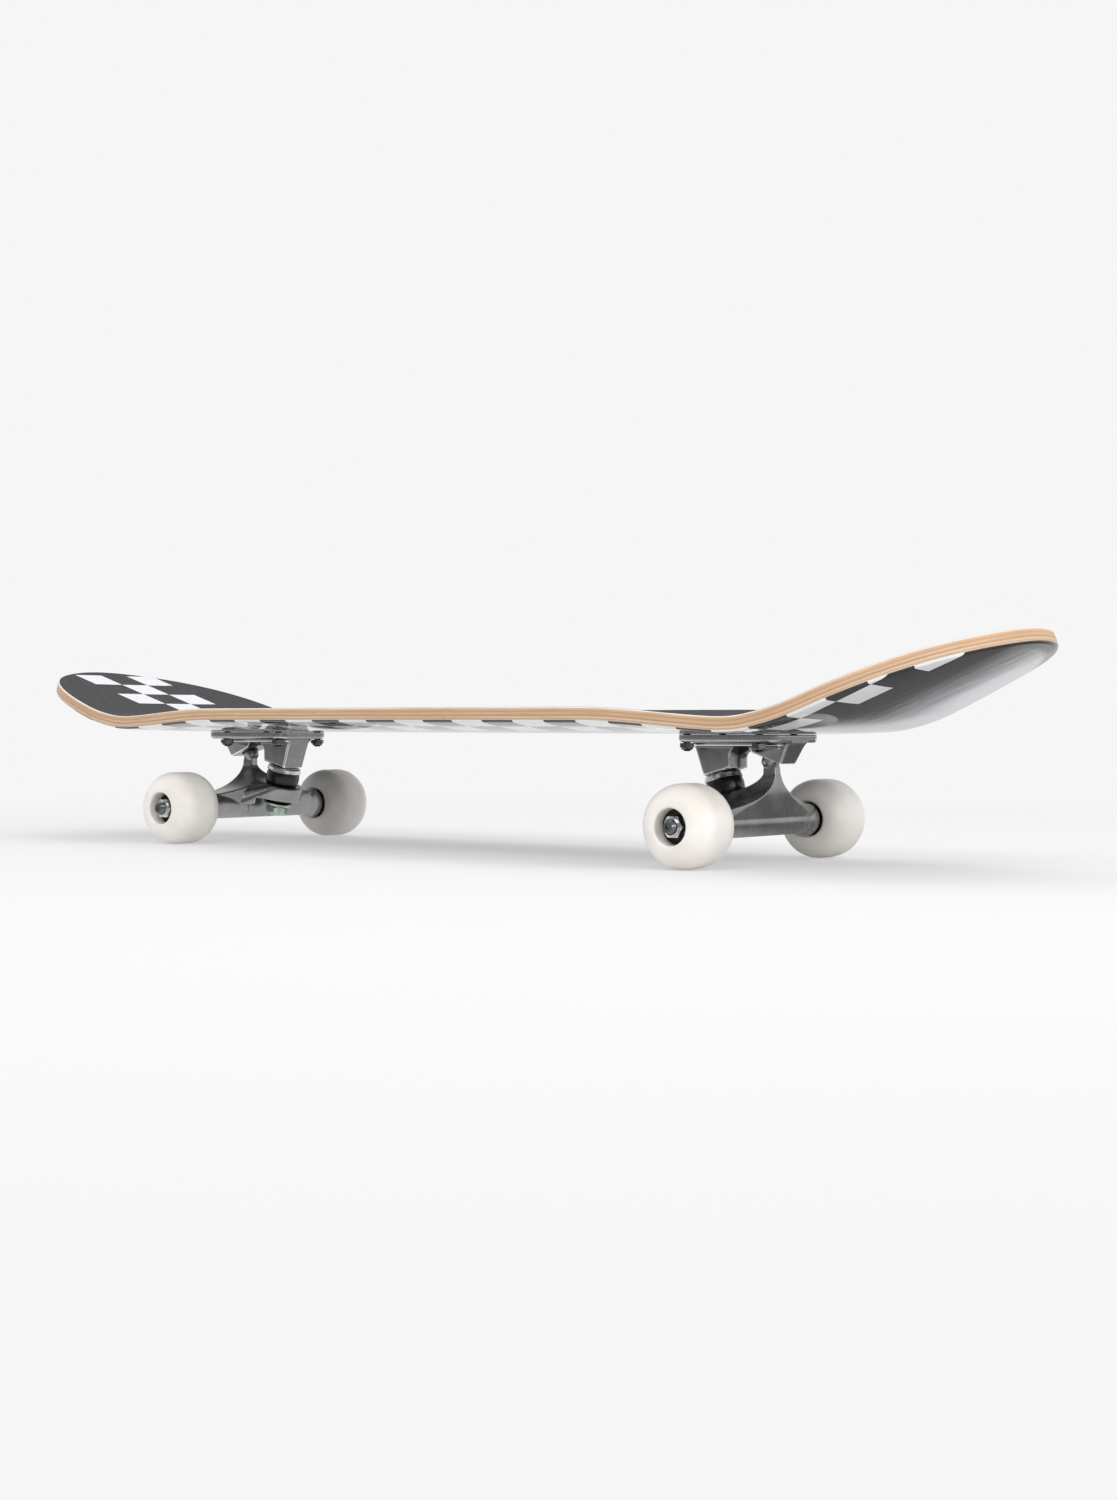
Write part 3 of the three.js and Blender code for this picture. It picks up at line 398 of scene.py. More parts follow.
class Recipe:
    """The nodes of one material, or of the air round the scene, added step by step."""

    def __init__(self, owner: bpy.types.Material | bpy.types.World) -> None:
        """Empties the owner's nodes."""
        self.owner = owner
        owner.use_nodes = True
        self.tree = owner.node_tree
        self.tree.nodes.clear()

    def add(self, kind: str, values: dict[Any, Any] | None = None, **settings: Any) -> bpy.types.Node:
        """Adds a node.

        Args:
            kind: The node's type.
            values: Its inputs, by name or number: a value, or the output that feeds it.
            settings: Its own settings.

        Returns:
            The node.
        """
        node = self.tree.nodes.new(f"ShaderNode{kind}")
        for key, value in settings.items():
            setattr(node, key, value)
        for key, value in (values or {}).items():
            if isinstance(value, bpy.types.NodeSocket):
                self.tree.links.new(value, node.inputs[key])
            else:
                node.inputs[key].default_value = value
        return node

    def place(self, kind: str = "Object") -> Socket:
        """Coordinates fixed in the piece, in metres, or of another kind."""
        return self.add("TexCoord").outputs[kind]

    def split(self, vector: Socket) -> Sequence[Socket]:
        """The single values of a vector."""
        return self.add("SeparateXYZ", {0: vector}).outputs

    def sheet(self) -> tuple[Socket, Socket, Socket]:
        """Coordinates unrolled over the board: both together, along it, and across it or down its edge."""
        unrolled = self.add("UVMap", uv_map=BoardShape.UNROLLED).outputs["UV"]
        along, across, _ = self.split(unrolled)
        return unrolled, along, across

    def vector(self, operation: str, *values: Any, output: str = "Vector") -> Socket:
        """Arithmetic on vectors."""
        return self.add("VectorMath", dict(enumerate(values)), operation=operation).outputs[output]

    def math(self, operation: str, first: Any, second: Any = 0.0, third: Any = 0.0) -> Socket:
        """Arithmetic on single values."""
        return self.add("Math", {0: first, 1: second, 2: third}, operation=operation).outputs[0]

    def noise(self, vector: Socket, grain: Grain) -> Socket:
        """A grain as values from 0 to 1."""
        scale = grain.scale
        if isinstance(scale, tuple):
            vector, scale = self.vector("MULTIPLY", vector, scale), 1.0
        values = {"Vector": vector, "Scale": scale, "Detail": grain.detail, "Roughness": grain.roughness}
        return self.add("TexNoise", values).outputs["Fac"]

    def graded(self, value: Socket, low: float, high: float, start: float = 0.0, end: float = 1.0) -> Socket:
        """A value's range stretched smoothly to another, and held at its ends."""
        values = {"Value": value, "From Min": low, "From Max": high, "To Min": start, "To Max": end}
        return self.add("MapRange", values, interpolation_type="SMOOTHSTEP").outputs[0]

    def mixed(self, factor: Any, first: Socket | Rgb, second: Socket | Rgb) -> Socket:
        """Two colours mixed."""
        first, second = (tint(colour) if isinstance(colour, tuple) else colour for colour in (first, second))
        return self.add("Mix", {0: factor, 6: first, 7: second}, data_type="RGBA", blend_type="MIX").outputs[2]

    def veiled(self, under: Socket | Rgb, veil: Veil, value: Socket) -> Socket:
        """A colour with a veil over it where a value is high."""
        return self.mixed(self.graded(value, veil.low, veil.high, 0, veil.share), under, veil.colour)

    def ramp(self, value: Socket, stops: Sequence[tuple[float, Rgb]]) -> Socket:
        """A colour for each value, blended between its stops."""
        node = self.add("ValToRGB", {0: value})
        elements = node.color_ramp.elements
        while len(elements) < len(stops):
            elements.new(0.5)
        for element, (position, colour) in zip(elements, stops):
            element.position, element.color = position, tint(colour)
        return node.outputs[0]

    def wear_highlight_and_hollow_shade(self, start: float, end: float) -> Socket:
        """A mask from the surface's pointiness, 0 on flats: 1 on ridges, where wear and a painted highlight go, or 1 in
        hollows, where painted shade goes, when the end is below the start.
        """
        pointed = self.add("NewGeometry").outputs["Pointiness"]
        if end > start:
            return self.graded(pointed, start, end)
        return self.math("SUBTRACT", 1.0, self.graded(pointed, end, start))

    def bumped(self, height: Socket, strength: float, distance: float) -> Socket:
        """A surface made uneven by a height, in millimetres at full strength."""
        return self.add("Bump", {"Height": height, "Strength": strength, "Distance": distance * MM}).outputs[0]

    def finish(self, **values: Any) -> bpy.types.Material:
        """Closes a material with a shader whose inputs are named with underscores for spaces."""
        named = {key.replace("_", " "): value for key, value in values.items()}
        self.add("OutputMaterial", {"Surface": self.add("BsdfPrincipled", named).outputs[0]})
        return self.owner

    def shared(self, share: Socket, below: bpy.types.Node, above: bpy.types.Node, output: str) -> None:
        """Closes with two shaders, of which the second has a share."""
        blend = self.add("MixShader", {0: share, 1: below.outputs[0], 2: above.outputs[0]})
        self.add(output, {"Surface": blend.outputs[0]})


@dataclass(frozen=True)
class Finish:
    """What a surface is made of. `rough` grades roughness by a grain; `bump` is a strength and a height."""

    name: str

    def mix(self, recipe: Recipe) -> bpy.types.Material:
        """Adds the nodes of this finish."""
        raise NotImplementedError

    def material(self) -> bpy.types.Material:
        """The material of this finish, made once."""
        return bpy.data.materials.get(self.name) or self.mix(Recipe(bpy.data.materials.new(self.name)))


@dataclass(frozen=True)
class MapleEdge(Finish):
    """The sanded edge of pressed maple: long-grain plies, darker cross plies and glue lines."""

    plies: tuple[tuple[float, Rgb], ...] = (
        (0.0, (252, 245, 237)), (0.11, (246, 232, 216)), (0.15, (214, 183, 151)), (0.28, (206, 171, 137)),
        (0.31, (190, 152, 116)), (0.40, (199, 163, 129)), (0.44, (212, 181, 150)), (0.55, (207, 173, 140)),
        (0.58, (182, 142, 106)), (0.66, (190, 153, 118)), (0.70, (216, 190, 162)), (0.80, (209, 184, 157)),
        (0.83, (170, 142, 114)), (0.87, (203, 184, 162)), (1.0, (200, 184, 164)))
    wander: Grain = Grain((8, 90, 1))
    drift: float = 0.12
    broad: Grain = Grain((7, 170, 1))
    heart: Veil = Veil((186, 146, 108), 0.42, 0.68, 0.45)
    fibre: Grain = Grain((26, 1500, 1), 4, 0.65)
    line: Veil = Veil((164, 120, 84), 0.5, 0.72, 0.5)
    pores: Grain = Grain((150, 2600, 1), 2)
    pore: Veil = Veil((124, 84, 56), 0.62, 0.74, 0.55)
    rough: Flat = (0.18, 0.4)
    bump: Flat = (0.3, 0.12)

    def mix(self, recipe: Recipe) -> bpy.types.Material:
        """Stacks the plies down the edge, then draws fibres and pores along it."""
        unrolled, _, depth = recipe.sheet()
        wander, broad, fibre, pores = (
            recipe.noise(unrolled, grain) for grain in (self.wander, self.broad, self.fibre, self.pores))
        wavy = recipe.math("MULTIPLY_ADD", wander, self.drift, -self.drift / 2)
        level = recipe.math("MULTIPLY_ADD", depth, 1 / (DECK_STACK * MM), wavy)
        colour = recipe.veiled(recipe.ramp(level, self.plies), self.heart, broad)
        colour = recipe.veiled(recipe.veiled(colour, self.line, fibre), self.pore, pores)
        return recipe.finish(Base_Color=colour, Roughness=recipe.math("MULTIPLY_ADD", fibre, *self.rough),
                             Normal=recipe.bumped(recipe.math("ADD", fibre, pores), *self.bump), IOR=1.45)


@dataclass(frozen=True)
class Checks:
    """A plain check pattern in rows and columns of square cells."""

    cell: float
    first_column: float
    first_row: float
    rows: int
    columns: int

    def mask(self, recipe: Recipe, along: Socket, across: Socket) -> Socket:
        """One in the pale cells of the pattern, and zero elsewhere, from distances along and across in metres."""
        even_shift = 100.0  # Keeps the sum above zero. It is even, so that the pattern stays where it is.
        column, row = (recipe.math("DIVIDE", recipe.math("SUBTRACT", place, start * MM), self.cell * MM)
                       for place, start in ((along, self.first_column), (across, self.first_row)))
        whole = recipe.math("ADD", recipe.math("FLOOR", column), recipe.math("FLOOR", row))
        odd = recipe.math("MODULO", recipe.math("ADD", whole, even_shift), 2.0)
        within = [recipe.math("COMPARE", value, count / 2, count / 2)
                  for value, count in ((column, self.columns), (row, self.rows))]
        return recipe.math("MULTIPLY", recipe.math("SUBTRACT", 1.0, odd), recipe.math("MULTIPLY", *within))


@dataclass(frozen=True)
class GripSheet(Finish):
    """Black abrasive sheet with glinting grit and a printed patch of checks."""

    checks: Checks
    shadow: Rgb = (26, 26, 28)
    coarse: Grain = Grain(900, 2, 0.7)
    grit: Veil = Veil((76, 75, 78))
    patches: Grain = Grain(22)
    scuff: Veil = Veil((50, 49, 52), 0.4, 0.7, 0.35)
    fine: Grain = Grain(2600, 2, 0.7)
    glint: Veil = Veil((176, 178, 184), 0.68, 0.78, 0.75)
    ink: Rgb = (222, 222, 225)
    lit_ink: Veil = Veil((250, 250, 252))
    rough: tuple[float, ...] = (0.4, 0.8, 0.9, 0.45)
    bump: Flat = (0.8, 0.35)
    fine_height: float = 0.6

    def mix(self, recipe: Recipe) -> bpy.types.Material:
        """Scatters grit over the sheet and prints the pale cells."""
        _, along, across = recipe.sheet()
        place = recipe.place()
        coarse, patches, fine = (recipe.noise(place, grain) for grain in (self.coarse, self.patches, self.fine))
        dark = recipe.veiled(recipe.veiled(self.shadow, self.grit, coarse), self.scuff, patches)
        dark = recipe.veiled(dark, self.glint, fine)
        pale = recipe.veiled(self.ink, self.lit_ink, coarse)
        height = recipe.math("ADD", coarse, recipe.math("MULTIPLY", fine, self.fine_height))
        return recipe.finish(Base_Color=recipe.mixed(self.checks.mask(recipe, along, across), dark, pale),
                             Roughness=recipe.graded(fine, *self.rough),
                             Normal=recipe.bumped(height, *self.bump), IOR=1.5)


@dataclass(frozen=True)
class UndersidePrint(Finish):
    """The deck's underside: glossy black lacquer with a band of plain checks, and a pale painted reflection with a
    streaky edge on the tail.
    """

    checks: Checks
    lacquer: Rgb = (24, 24, 25)
    cloud: Grain = Grain((14, 26, 1), 4)
    clouded: Veil = Veil((38, 37, 38))
    ink: Rgb = (228, 230, 230)
    lit_ink: Veil = Veil((240, 241, 242))
    # Colour of the painted reflection on the tail.
    painted_reflection: Rgb = (206, 208, 212)
    reflection_across: Flat = (0.008, 0.085)
    reflection_along: Flat = (0.27, 0.31)
    reflection_tip: tuple[float, ...] = (0.414, 0.421, 0.8, 0.0)
    tip_bend: float = 7.8
    streak: Grain = Grain((16, 120, 1), 4, 0.6)
    streak_drift: float = 0.07
    brushed: Grain = Grain((30, 900, 1))
    scratch: Grain = Grain((60, 2200, 1), 2)
    scratch_depth: float = 0.4
    rough: tuple[float, ...] = (0.3, 0.75, 0.16, 0.26)
    bump: Flat = (0.06, 0.03)

    def mix(self, recipe: Recipe) -> bpy.types.Material:
        """Prints the checks under the lacquer, paints a pale reflection onto the lacquer on the tail, and marks the
        lacquer with fine scratches.
        """
        unrolled, along, across = recipe.sheet()
        cloud, streak, brushed, scratch = (
            recipe.noise(unrolled, grain) for grain in (self.cloud, self.streak, self.brushed, self.scratch))
        # Painted reflection: the lacquer turns pale toward the far rail of the tail kick, with a streaky edge, and
        # stays dark at the tip.
        drawn = recipe.math("MULTIPLY_ADD", streak, self.streak_drift, across)
        painted_reflection = recipe.math("MULTIPLY", recipe.graded(drawn, *self.reflection_across), recipe.graded(along, *self.reflection_along))
        outward = recipe.math("MULTIPLY_ADD", recipe.math("MULTIPLY", across, across), self.tip_bend, along)
        painted_reflection = recipe.math("MULTIPLY", painted_reflection, recipe.graded(outward, *self.reflection_tip))
        dark = recipe.mixed(painted_reflection, recipe.veiled(self.lacquer, self.clouded, cloud), self.painted_reflection)
        pale = recipe.veiled(self.ink, self.lit_ink, cloud)
        marks = recipe.math("ADD", brushed, recipe.math("MULTIPLY", scratch, self.scratch_depth))
        return recipe.finish(Base_Color=recipe.mixed(self.checks.mask(recipe, along, across), dark, pale),
                             Roughness=recipe.graded(cloud, *self.rough), Normal=recipe.bumped(marks, *self.bump),
                             Specular_IOR_Level=0.0, Coat_Weight=1.0, Coat_Roughness=0.06, Coat_IOR=1.6)


@dataclass(frozen=True)
class CastMetal(Finish):
    """Satin gunmetal casting: fine sand texture, faint clouding, painted shade in the hollows, and edges made bright,
    partly by wear and partly by a painted highlight.
    """

    dark: Rgb = (142, 143, 143)
    light: Rgb = (158, 159, 159)
    cloud: Grain = Grain(60, 4)
    # Colour of the painted shade in the casting's hollows.
    painted_hollow_shade: Rgb = (62, 62, 63)
    hollow_shade_range: Flat = (0.49, 0.45)
    # Colour of the bright ridges, partly wear and partly a painted highlight, and of the sand specks.
    bright: Rgb = (244, 244, 243)
    ridge_wear_and_highlight: Flat = (0.508, 0.53)
    sand: Grain = Grain(1500, 3, 0.6)
    speck: Flat = (0.62, 0.82)
    speck_share: float = 0.1
    sand_share: float = 0.4
    metal: float = 0.9
    rough: tuple[float, ...] = (0.5, 1.0, 0.22, 0.32)
    bump: Flat = (0.1, 0.05)

    def mix(self, recipe: Recipe) -> bpy.types.Material:
        """Clouds the metal, paints shade into the hollows, brightens the ridges with wear and a painted highlight, and
        roughens the skin.
        """
        place = recipe.place()
        cloud, sand = recipe.noise(place, self.cloud), recipe.noise(place, self.sand)
        colour = recipe.veiled(self.dark, Veil(self.light), cloud)
        # Painted shade: concave hollows of the casting are darkened.
        colour = recipe.mixed(recipe.wear_highlight_and_hollow_shade(*self.hollow_shade_range), colour, self.painted_hollow_shade)
        # Ridges brightened: partly wear, partly a painted highlight.
        colour = recipe.mixed(recipe.wear_highlight_and_hollow_shade(*self.ridge_wear_and_highlight), colour, self.bright)
        colour = recipe.veiled(colour, Veil(self.bright, *self.speck, self.speck_share), sand)
        uneven = recipe.math("ADD", cloud, recipe.math("MULTIPLY", sand, self.sand_share))
        return recipe.finish(Base_Color=colour, Metallic=self.metal, Roughness=recipe.graded(uneven, *self.rough),
                             Normal=recipe.bumped(sand, *self.bump))


@dataclass(frozen=True)
class PlatedSteel(Finish):
    """Plated or blackened steel with turning marks and light handling scratches."""

    base: Rgb
    mark: Rgb
    polish: float
    metal: float = 1.0
    stain: Grain = Grain(130)
    stained: Trio = (0.4, 0.72, 0.8)
    scratch: Grain = Grain((2200, 500, 900), 2)
    scratched: Trio = (0.6, 0.78, 0.4)
    dulled: Trio = (0.3, 0.75, 0.16)
    bump: Flat = (0.15, 0.04)

    def mix(self, recipe: Recipe) -> bpy.types.Material:
        """Draws scratches and stains into the plating."""
        place = recipe.place()
        stain, scratch = recipe.noise(place, self.stain), recipe.noise(place, self.scratch)
        colour = recipe.veiled(self.base, Veil(self.mark, *self.stained), stain)
        colour = recipe.veiled(colour, Veil(self.mark, *self.scratched), scratch)
        low, high, duller = self.dulled
        return recipe.finish(Base_Color=colour, Metallic=self.metal, Normal=recipe.bumped(scratch, *self.bump),
                             Roughness=recipe.graded(stain, low, high, self.polish, self.polish + duller))


@dataclass(frozen=True)
class Urethane(Finish):
    """Cast white urethane: faintly clouded, satin, with dust in its pores."""

    base: Rgb = (245, 241, 235)
    cloud: Grain = Grain(34)
    shade: Veil = Veil((234, 228, 219), 0.35, 0.72)
    pits: Grain = Grain(1100, 2)
    dust: Veil = Veil((204, 198, 188), 0.64, 0.8, 0.35)
    rough: tuple[float, ...] = (0.3, 0.75, 0.36, 0.48)
    bump: Flat = (0.12, 0.05)
    glow: Trio = (0.004, 0.003, 0.002)

    def mix(self, recipe: Recipe) -> bpy.types.Material:
        """Clouds the resin and pits its skin."""
        place = recipe.place()
        cloud, pits = recipe.noise(place, self.cloud), recipe.noise(place, self.pits)
        colour = recipe.veiled(recipe.veiled(self.base, self.shade, cloud), self.dust, pits)
        return recipe.finish(Base_Color=colour, Roughness=recipe.graded(cloud, *self.rough),
                             Normal=recipe.bumped(pits, *self.bump), IOR=1.5, Subsurface_Weight=0.12,
                             Subsurface_Radius=self.glow, Subsurface_Scale=1.0)


@dataclass(frozen=True)
class Rubber(Finish):
    """Dyed soft urethane or rubber."""

    base: Rgb
    bloom: Veil
    rough: tuple[float, ...]
    film: Grain = Grain(160, 4)
    flow: Grain = Grain((300, 300, 1400), 2)
    bump: Flat = (0.1, 0.05)

    def mix(self, recipe: Recipe) -> bpy.types.Material:
        """Adds a pale bloom and moulding flow lines."""
        place = recipe.place()
        film, flow = recipe.noise(place, self.film), recipe.noise(place, self.flow)
        return recipe.finish(Base_Color=recipe.veiled(self.base, self.bloom, film),
                             Roughness=recipe.graded(film, *self.rough),
                             Normal=recipe.bumped(flow, *self.bump), IOR=1.5)


CAST = CastMetal("cast_metal_finish", (124, 125, 125), (140, 141, 141))
HANGER_CAST = CastMetal("hanger_metal_finish", ridge_wear_and_highlight=(0.525, 0.56))
CHROME = PlatedSteel("bright_steel_finish", (232, 233, 234), (186, 188, 190), 0.12)
ZINC = PlatedSteel("zinc_finish", (176, 190, 180), (128, 140, 134), 0.24)
BLACK_STEEL = PlatedSteel("black_steel_finish", (44, 44, 47), (74, 74, 78), 0.3, 0.7)
SHIELD = PlatedSteel("bearing_shield_finish", (30, 29, 28), (46, 45, 44), 0.3, 0.4)
NUT_STEEL = PlatedSteel("deck_nut_finish", (112, 113, 115), (62, 62, 64), 0.22, 0.9)
AXLE_STEEL = PlatedSteel("axle_steel_finish", (112, 113, 114), (70, 70, 71), 0.2)
URETHANE = Urethane("wheel_urethane_finish")
BUSHING = Rubber("bushing_finish", (12, 12, 12), Veil((22, 22, 23), 0.45, 0.8, 0.8), (0.3, 0.75, 0.2, 0.4))
CUP = Rubber("pivot_cup_finish", (24, 24, 25), Veil((50, 50, 52), 0.45, 0.8, 0.8), (0.3, 0.75, 0.4, 0.6))


def fit(made: Piece, finish: Finish | None, body: str, node: str, angle: float = 32.0) -> Piece:
    """Dresses a finished piece and hands it to its body.

    Args:
        made: The piece.
        finish: What its surface is made of; none when it is dressed already.
        body: The body that it moves with.
        node: The frame's node that it stands for.
        angle: Edges sharper than this many degrees stay crisp.

    Returns:
        The piece.
    """
    if finish is not None:
        made.data.materials.clear()
        made.data.materials.append(finish.material())
    made.data.shade_smooth()
    made.data.set_sharp_from_angle(angle=math.radians(angle))
    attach(made, body)
    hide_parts(node)
    LOG.info("%s: %d faces on %s", made.name, len(made.data.polygons), body)
    return made


def middle(node: str) -> Vector:
    """Middle of a frame node, in millimetres."""
    low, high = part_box(node)
    return (low + high) / 2 / MM


# ----- Board -----


@dataclass(frozen=True)
class BoardEnd:
    """One end of the board. Lengths are measured along the curved board from the middle of the wheelbase."""

    side: int
    reach: float
    kick_start: float
    kick_radius: float
    kick_angle: float
    round_length: float
    round_power: float
    fade_length: float
    kick_rail_rise: float
    tip_rail_rise: float


@dataclass(frozen=True)
class Row:
    """A line across one end of the board: its place, half width, and the outline's plan normal there."""

    end: BoardEnd
    along: float
    half: float
    normal: Flat


@dataclass(frozen=True)
class BoardShape:
    """The curved surface that the deck and its grip sheet share."""

    UNROLLED = "board"

    middle_x: float
    width: float = 197.5
    flat_width: float = 52.0
    rail_rise: float = 7.35
    concave_power: float = 1.85
    top: float = AXLE_HEIGHT + TRUCK_HEIGHT + PLAY + DECK_STACK
    nose: BoardEnd = BoardEnd(-1, 412.55, 257.5, 157, math.radians(16.9), 120.5, 2.0, 82, 1.55, 4.1)
    tail: BoardEnd = BoardEnd(1, 424.9, 250.5, 160, math.radians(21.7), 150, 2.07, 98, 0.95, 6.9)
    row_pitch: float = 5.0
    round_rows: int = 40
    side_columns: int = 10
    weld: float = 0.002 * MM

    def middle_line(self, end: BoardEnd, along: float) -> Trio:
        """Distance out, height gained and slope of the board's middle line, at a length along it."""
        turn = min(max((along - end.kick_start) / end.kick_radius, 0.0), end.kick_angle)
        straight = max(along - end.kick_start - end.kick_radius * end.kick_angle, 0.0)
        out = min(along, end.kick_start) + end.kick_radius * math.sin(turn) + straight * math.cos(end.kick_angle)
        rise = end.kick_radius * (1 - math.cos(turn)) + straight * math.sin(end.kick_angle)
        return out, rise, turn

    def rail(self, end: BoardEnd, along: float) -> float:
        """How far the rail stands above the board's middle line."""
        fade_start, pocket = end.kick_start - end.fade_length, end.kick_start + end.fade_length / 5
        share = min(max((along - fade_start) / (pocket - fade_start), 0), 1)
        fade = share * share * (3 - 2 * share)
        climb = min(max((along - pocket) / (end.reach - pocket), 0.0), 1.0)
        return (self.rail_rise + (end.kick_rail_rise - self.rail_rise) * fade
                + (end.tip_rail_rise - end.kick_rail_rise) * climb)

    def point(self, end: BoardEnd, along: float, across: float, depth: float) -> Trio:
        """A point of the board: along and across it, and a depth below the deck's upper face."""
        out, rise, slope = self.middle_line(end, along)
        beyond = max(abs(across) - self.flat_width / 2, 0.0) / ((self.width - self.flat_width) / 2)
        lift = self.rail(end, along) * beyond ** self.concave_power - depth
        return (self.middle_x + end.side * (out - math.sin(slope) * lift), across,
                self.top + rise + math.cos(slope) * lift)

    def rows(self, end: BoardEnd) -> list[Row]:
        """The rows across one end, from the middle outward."""
        start, half, share = end.reach - end.round_length, self.width / 2, 2 / end.round_power
        found = [Row(end, float(along), half, (0.0, 1.0))
                 for along in np.linspace(0, start, int(start / self.row_pitch) + 1)[:-1]]
        for sine, cosine in quarter(self.round_rows):
            cosine = cosine if cosine > ON_AXIS else 0.0
            normal = Vector((sine ** (2 - share) / end.round_length, cosine ** (2 - share) / half))
            found.append(Row(end, start + end.round_length * sine ** share, half * cosine ** share,
                             tuple(normal.normalized())))
        return found

    def sheet(self, name: str, edge: Sequence[Flat], printed: int = 0) -> Piece:
        """A board-shaped sheet, with its surface unrolled into coordinates in metres.

        Args:
            name: Name of the sheet.
            edge: Inset and depth steps from the upper face to the lower one.
            printed: How many of the last steps belong to the lower face.

        Returns:
            The sheet. Its faces carry material 0 on the edge, 1 on top and 2 underneath.
        """
        flat_share = self.flat_width / self.width
        outer = [flat_share + (1 - flat_share) * k / self.side_columns for k in range(self.side_columns + 1)]
        columns = [-share for share in reversed(outer)] + [0.0] + outer
        bare = [0] * (len(edge) - 1 - printed)
        kinds = [1] * (len(columns) - 1) + bare + [2] * (len(columns) - 1 + 2 * printed) + bare
        girth = [0.0]
        for before, after in zip(edge, edge[1:]):
            girth.append(girth[-1] + math.dist(before, after))
        depths = [0.0] * len(columns) + girth[1:-1] + [girth[-1]] * len(columns) + girth[-2:0:-1]
        around = [(edge[0], share) for share in columns] + [(step, 1.0) for step in edge[1:-1]]
        around += [(edge[-1], share) for share in reversed(columns)] + [(step, -1.0) for step in reversed(edge[1:-1])]
        run, rim = 0.0, None
        points: list[Trio] = []
        flats: list[list[Flat]] = []
        rims: list[list[Flat]] = []
        for row in [*reversed(self.rows(self.nose)[1:]), *self.rows(self.tail)]:
            loop = [self.point(row.end, row.along - row.normal[0] * step[0],
                               share * max(row.half - row.normal[1] * step[0], 0.0), step[1])
                    for step, share in [(edge[len(edge) // 2], 1.0), *around]]
            before, rim = rim, Vector(loop.pop(0))
            run += (rim - before).length if before else 0.0
            points += loop
            flats.append([(row.end.side * row.along * MM, p[1] * MM) for p in loop])
            rims.append([(run * MM, depth * MM) for depth in depths])
        faces, unrolled = [], []
        for i in range(len(flats) - 1):
            for j, kind in enumerate(kinds):
                n = (j + 1) % len(kinds)
                corners = [(i, j), (i, n), (i + 1, n), (i + 1, j)]
                faces.append([r * len(kinds) + c for r, c in corners])
                unrolled.append([(flats if kind else rims)[r][c] for r, c in corners])
        mesh = mesh_of(name, points, faces)
        layer = mesh.uv_layers.new(name=self.UNROLLED)
        layer.data.foreach_set("uv", [v for face in unrolled for corner in face for v in corner])
        mesh.polygons.foreach_set("material_index", kinds * (len(flats) - 1))
        with editing(mesh) as body:
            bmesh.ops.remove_doubles(body, verts=body.verts, dist=self.weld)
            bmesh.ops.dissolve_degenerate(body, dist=self.weld / 2, edges=body.edges)
        return linked(name, mesh)


@dataclass(frozen=True)
class Board:
    """The deck and the grip sheet on it."""

    shape: BoardShape
    top_ease: float = 0.8
    lower_round: float = 2.6
    printed_steps: int = 5
    grip_thickness: float = 0.25
    grip_rim: tuple[Flat, ...] = ((1.6, -0.25), (1.1, -0.2), (0.8, -0.03))
    screw_head: float = 5.2
    screw_shank: float = 2.9
    screw_head_height: float = 3.0
    crisp: float = 40.0
    underside: Checks = Checks(25.0, -398.7, -106.0, 2, 32)
    patch: Checks = Checks(26.8, -402.8, -33.8, 3, 4)

    def drilled(self, made: Piece, profile: Sequence[Flat]) -> Piece:
        """Cuts the same turned hole through a sheet at each screw."""
        for screw in (middle(f"{end}_bolt_{k}") for end in ENDS for k in range(1, 5)):
            place = Matrix.Translation((screw.x, screw.y, 0))
            combine(made, Joining.CUT, turned("hole", profile, 24, place))
        return made

    def deck(self) -> None:
        """The pressed deck, with its sanded edge, its print underneath and its countersunk holes."""
        ease, turn, start = self.top_ease, self.lower_round, DECK_STACK - self.lower_round
        edge = [(ease * (1 - s), ease * (1 - c)) for s, c in quarter(4)]
        edge += [(0.0, float(d)) for d in np.linspace(ease, start, 6)[1:]]
        edge += [(turn * (1 - c), start + turn * s) for s, c in quarter(8)[1:]]
        made = self.shape.sheet("maple_deck", edge, self.printed_steps)
        wood = MapleEdge("maple_edge_finish")
        for finish in (wood, wood, UndersidePrint("underside_finish", self.underside)):
            made.data.materials.append(finish.material())
        top, low = self.shape.top + self.grip_thickness, self.shape.top - DECK_STACK - 1
        self.drilled(made, [(0, low), (self.screw_shank, low), (self.screw_shank, top - self.screw_head_height),
                            (self.screw_head, top), (self.screw_head, top + 1), (0, top + 1)])
        fit(made, None, "board", "deck", self.crisp)

    def grip(self) -> None:
        """The grip sheet, with a hole round each screw head."""
        made = self.shape.sheet("grip_sheet", self.grip_rim)
        low, high = self.shape.top - 1, self.shape.top + self.grip_thickness + 1
        self.drilled(made, [(0, low), (self.screw_head, low), (self.screw_head, high), (0, high)])
        fit(made, GripSheet("grip_finish", self.patch), "board", "grip_tape", self.crisp)


# ----- Trucks -----


